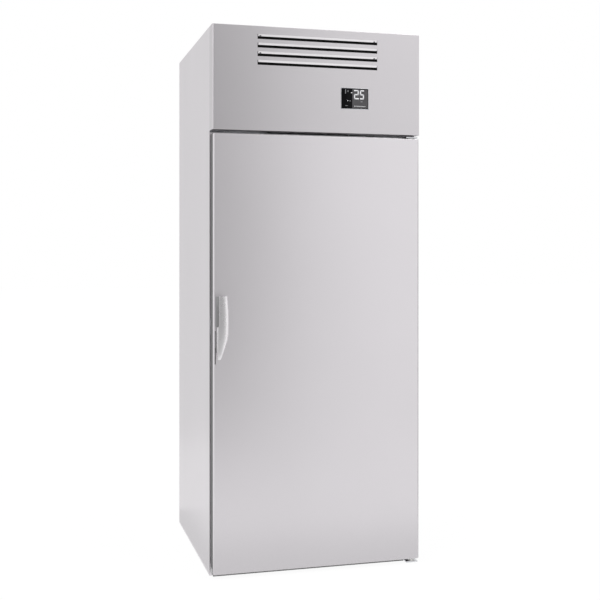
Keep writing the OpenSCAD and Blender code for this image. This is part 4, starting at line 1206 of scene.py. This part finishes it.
studs = bmesh.new()
feet = [pot_foot + Vector((x, y, 0)) for x in (-76, 76) for y in (-56, 56)]
for foot in feet:
    rods_into(studs, foot, ((0, 0, 4), (0, 0, 5.5), 11, 24), ((0, 0, 5.5), (0, 0, 10), 7, 6))
keep_piece(studs, "compressor_nuts", "plated_steel", "cabinet", smooth=30)
softened("compressor_feet", 1.5, 3)
print("compressor stands on", len(feet), "feet")

# %% [markdown]
# ## Copper lines
# A refrigerant line is a path of points with rounded corners. Each corner is replaced by a short arc, the
# path becomes a curve with a round bevel, and the curve is turned into a mesh before it joins the cabinet.
# The thick line that brings the cold gas back wears a foam sleeve.

# %% Tubes and cables
arc_steps = 8


def route(start, *moves):
    """A path of points: a start, and then moves to a new x, y or z."""
    path = [Vector(start)]
    for axis, value in moves:
        path.append(path[-1].copy())
        setattr(path[-1], axis, value)
    return path


def rounded_path(points, bend):
    """The path with an arc at each corner, in metres."""
    points = [Vector(p) * mm for p in points]
    path = [points[0]]
    for before, corner, after in zip(points, points[1:], points[2:]):
        reach = min(bend * mm, (corner - before).length * 0.48, (after - corner).length * 0.48)
        start = corner + (before - corner).normalized() * reach
        end = corner + (after - corner).normalized() * reach
        for t in (i / arc_steps for i in range(arc_steps + 1)):
            path.append(start * (1 - t) ** 2 + corner * 2 * t * (1 - t) + end * t ** 2)
    return path + [points[-1]]


def bent_tube(name, points, radius, bend, finish, *stands_for):
    """A tube along a path of points, with an arc at each corner."""
    path = rounded_path(points, bend)
    curve = bpy.data.curves.new(name, "CURVE")
    curve.dimensions = "3D"
    curve.bevel_depth = radius * mm
    curve.bevel_resolution = 4
    curve.use_fill_caps = True
    spline = curve.splines.new("POLY")
    spline.points.add(len(path) - 1)
    for point, place in zip(spline.points, path):
        point.co = (*place, 1)
    made = bmesh.new()
    shape = bpy.data.objects.new(name + "_path", curve)
    scene.collection.objects.link(shape)
    made.from_mesh(shape.to_mesh())
    shape.to_mesh_clear()
    bpy.data.objects.remove(shape)
    length = sum((b - a).length for a, b in zip(path, path[1:]))
    print(name, "is", round(length / mm), "mm long")
    keep_piece(made, name, finish, "cabinet", *stands_for, smooth=60)


print("tubes can be bent")

# %% Copper lines
dryer_low, dryer_high = box_mm("filter_drier")
out_y = box_mm("refrigerant_lines")[0].y + 5
house_y = housing_low.y
dry_x, dry_y = (dryer_low.x + dryer_high.x) / 2, (dryer_low.y + dryer_high.y) / 2
warm_z = fan_high.z - 40
low_z, high_z = dryer_low.z - 20, dryer_high.z + 40
liquid_x, cold_x = 130, 190
cold_z = comp_high.z + 20
hot_gas_path = route((gas_x, comp_low.y + 4, gas_z), ("y", out_y), ("z", warm_z), ("x", fan_high.x))
bent_tube("hot_gas_line", hot_gas_path, 5, 22, "copper_tube", "refrigerant_lines")
bent_tube("liquid_line_in", route((fan_high.x, out_y, low_z), ("x", dry_x), ("y", dry_y),
                                  ("z", dryer_low.z + 2)), 5, 16, "copper_tube")
bent_tube("liquid_line_out", route((dry_x, dry_y, dryer_high.z - 2), ("z", high_z), ("x", liquid_x),
                                   ("y", house_y)), 5, 22, "copper_tube")
bent_tube("suction_line", route((pot_x, pot_y, comp_high.z - 4), ("z", cold_z), ("x", cold_x),
                                ("y", house_y)), 8, 20, "copper_tube")
sleeve_path = route((pot_x - 26, pot_y, cold_z), ("x", cold_x), ("y", house_y))
bent_tube("suction_sleeve", sleeve_path, 12.5, 26, "grey_rubber")
print("lines meet the housing at y", round(house_y))

# %% Drier
drier = bmesh.new()
length = dryer_high.z - dryer_low.z
half_outline = ((6, 0), (6, 6), (9, 12), (17, 16), (20, 19), (20, length / 2 - 22), (20.8, length / 2 - 21))
lathe(drier, half_outline + tuple((radius, length - z) for radius, z in half_outline[::-1]), 32)
bmesh.ops.holes_fill(drier, edges=[e for e in drier.edges if e.is_boundary], sides=0)
face_out(drier)
shift(drier, (dry_x, dry_y, dryer_low.z), drier.verts)
keep_piece(drier, "drier_shell", "copper_tube", "cabinet", "filter_drier", smooth=25)
print("drier:", round(length), "mm long")

# %% [markdown]
# ## Fan motors and shroud
# Each motor is a small can with cooling ribs, carried on three flat arms. The can is a turned profile; its
# ribs are short steps in that profile. The CAD shroud keeps its shape and gets soft edges.

# %% Motors


def motor_into(made, place, radius, height, reach):
    """Adds a motor in its place, with a bore for its shaft and three arms to its mounting circle."""
    profile = [(0, 16), (4.8, 16), (4.8, 0.3), (radius - 2, 0.3), (radius, 2.3)]
    rib, groove = height * 0.055, radius - 1.6
    for z in (height * (0.22 + 0.11 * i) for i in range(5)):
        profile += [(radius, z), (groove, z + 0.5), (groove, z + rib), (radius, z + rib + 0.5)]
    profile += [(radius, height - 6), (radius - 5, height - 1), (radius * 0.4, height), (0, height)]
    parts = lathe(made, profile, 40)
    for angle in (30, 150, 270):
        arm = box_into(made, (radius - 6, -6, 0.3), (reach, 6, 4))
        arm += rod_into(made, (reach - 5, 0, 4), (reach - 5, 0, 6.5), 4, 6)
        turn_by(made, angle, "Z", arm)
        parts += arm
    bmesh.ops.transform(made, matrix=place, verts=parts)


cond_motor = bmesh.new()
motor_place = Matrix.Translation(Vector((fan_x, fan_high.y + 1, fan_z)) * mm)
motor_into(cond_motor, motor_place @ back_to_front, radius=38, height=65, reach=132)
face_out(cond_motor)
keep_piece(cond_motor, "condenser_motor", "black_enamel", "cabinet", "condenser_fan_motor", smooth=30)
evap_motors = bmesh.new()
for place in evap_places:
    motor_into(evap_motors, Matrix.Translation(place * mm), radius=28, height=45, reach=78)
face_out(evap_motors)
keep_piece(evap_motors, "evap_motors", "black_enamel", "cabinet", "evap_fan_motors", smooth=30)
softened("condenser_shroud", 1.0, 2, 60)
softened("evap_fan_plate", 0.4, 1, 60)
print("motors:", 1 + len(evap_places))

# %% [markdown]
# ## Fan guards
# A guard is made of wire: rings on a cross, with four legs up to the fan plate. A ring is a small circle spun
# a full turn round the fan's axis.

# %% Fan guards
guards = bmesh.new()
wire = 1.5
outer_ring = 76
guard_foot = box_mm("evap_fan_guards")[0].z
for place in evap_places:
    centre = Vector((place.x, place.y, guard_foot))
    for i in range(1, 5):
        ring = bmesh.ops.create_circle(guards, cap_ends=False, segments=8, radius=wire * mm)["verts"]
        turn_by(guards, 90, "X", ring)
        shift(guards, centre + Vector((outer_ring * i / 4, 0, wire)), ring)
        spin_round(guards, ring + joined_to(ring, "edges"), (place.x * mm, place.y * mm, 0), 48)
    for angle in (45, 135, 225, 315):
        tip = Matrix.Rotation(math.radians(angle), 3, "Z") @ Vector((outer_ring, 0, 0))
        rods_into(guards, centre, ((0, 0, 3), (tip.x, tip.y, 3), wire, 10),
                  ((tip.x, tip.y, 1), (tip.x, tip.y, 35.8), wire, 10))
face_out(guards)
keep_piece(guards, "wire_guards", "plated_steel", "cabinet", "evap_fan_guards", smooth=60)
print("guards:", len(evap_places))

# %% [markdown]
# ## Housing, electrics and pans
# The insulated housing is a plain box with a screwed lid. The electrical box has a cover of its own, held by
# four screws. The pans and the deck get only soft edges.

# %% Housing and electrics
sheet = 1.2
blocks("housing_lid", "galvanised_sheet", "cabinet",
       [((housing_low.x - sheet, housing_low.y - sheet, housing_high.z - 26),
         housing_high + Vector((sheet, sheet, sheet)))], 2.0, 3)
softened("evaporator_housing", 1.2, 2, 60)
lid_places = [(x, y, housing_high.z + sheet) for x in (housing_low.x + 18, 0, housing_high.x - 18)
              for y in (housing_low.y + 18, housing_high.y - 18)]
hex_screws("housing_screws", lid_places, (0, 0, 1))

ebox_low, ebox_high = box_mm("electrical_box")
blocks("electrical_case", "galvanised_sheet", "cabinet", [(ebox_low, ebox_high - Vector((4, 0, 0)))], 1.2, 2,
       "electrical_box")
blocks("electrical_cover", "white_plastic", "cabinet",
       [((ebox_high.x - 22, ebox_low.y + 0.2, ebox_low.z + 0.2), ebox_high - Vector((0, 0.2, 0.2)))], 2.5, 3)
hex_screws("electrical_screws", [(ebox_high.x, y, z) for y in (ebox_low.y + 14, ebox_high.y - 14)
                                 for z in (ebox_low.z + 14, ebox_high.z - 14)], (1, 0, 0))
print("electrics ready")

# %% [markdown]
# ## Cables
# The electrical box has three small glands. One cable runs from it to the compressor and one to the fan
# motor, along the deck. The third gland is for the controller's thin cable, which isn't drawn. The supply
# cord ends inside the gland in the rear panel.

# %% Cables
glands = bmesh.new()
cable_z, deck_z = ebox_low.z + 30, ebox_low.z + 5
motor_y, comp_y = ebox_low.y + 80, ebox_low.y + 120
for y in (ebox_low.y + 40, motor_y, comp_y):
    rods_into(glands, Vector((ebox_high.x, y, cable_z)), ((-1, 0, 0), (5, 0, 0), 9, 6),
              ((5, 0, 0), (13, 0, 0), 7, 24, 5.5))
keep_piece(glands, "cable_glands", "dark_plastic", "cabinet", smooth=30)
start_x, motor_run, comp_run = ebox_high.x + 8, ebox_high.x + 34, ebox_high.x + 46
cable_y = 56
comp_path = route((start_x, comp_y, cable_z), ("x", comp_run), ("z", deck_z), ("y", cable_y),
                  ("x", terminal_x), ("y", pot_y), ("z", plate_z + 62))
motor_path = route((start_x, motor_y, cable_z), ("x", motor_run), ("z", deck_z), ("x", fan_x),
                   ("y", fan_high.y + 50), ("z", fan_z - 30))
bent_tube("compressor_cable", comp_path, 4, 16, "black_rubber")
bent_tube("motor_cable", motor_path, 3, 14, "black_rubber")
for name, width, segments, angle in (("evaporating_pan", 1.0, 2, 60), ("drip_tray", 0.8, 2, 60),
                                     ("cable_gland", 0.8, 2, 30), ("rear_vent_panel", 0.3, 1, 60),
                                     ("drain_pipe", 0.4, 1, 30), ("head_rail", 0.5, 1, 60),
                                     ("deck_plate", 0.4, 1, 60)):
    softened(name, width, segments, angle)
print("cables run")
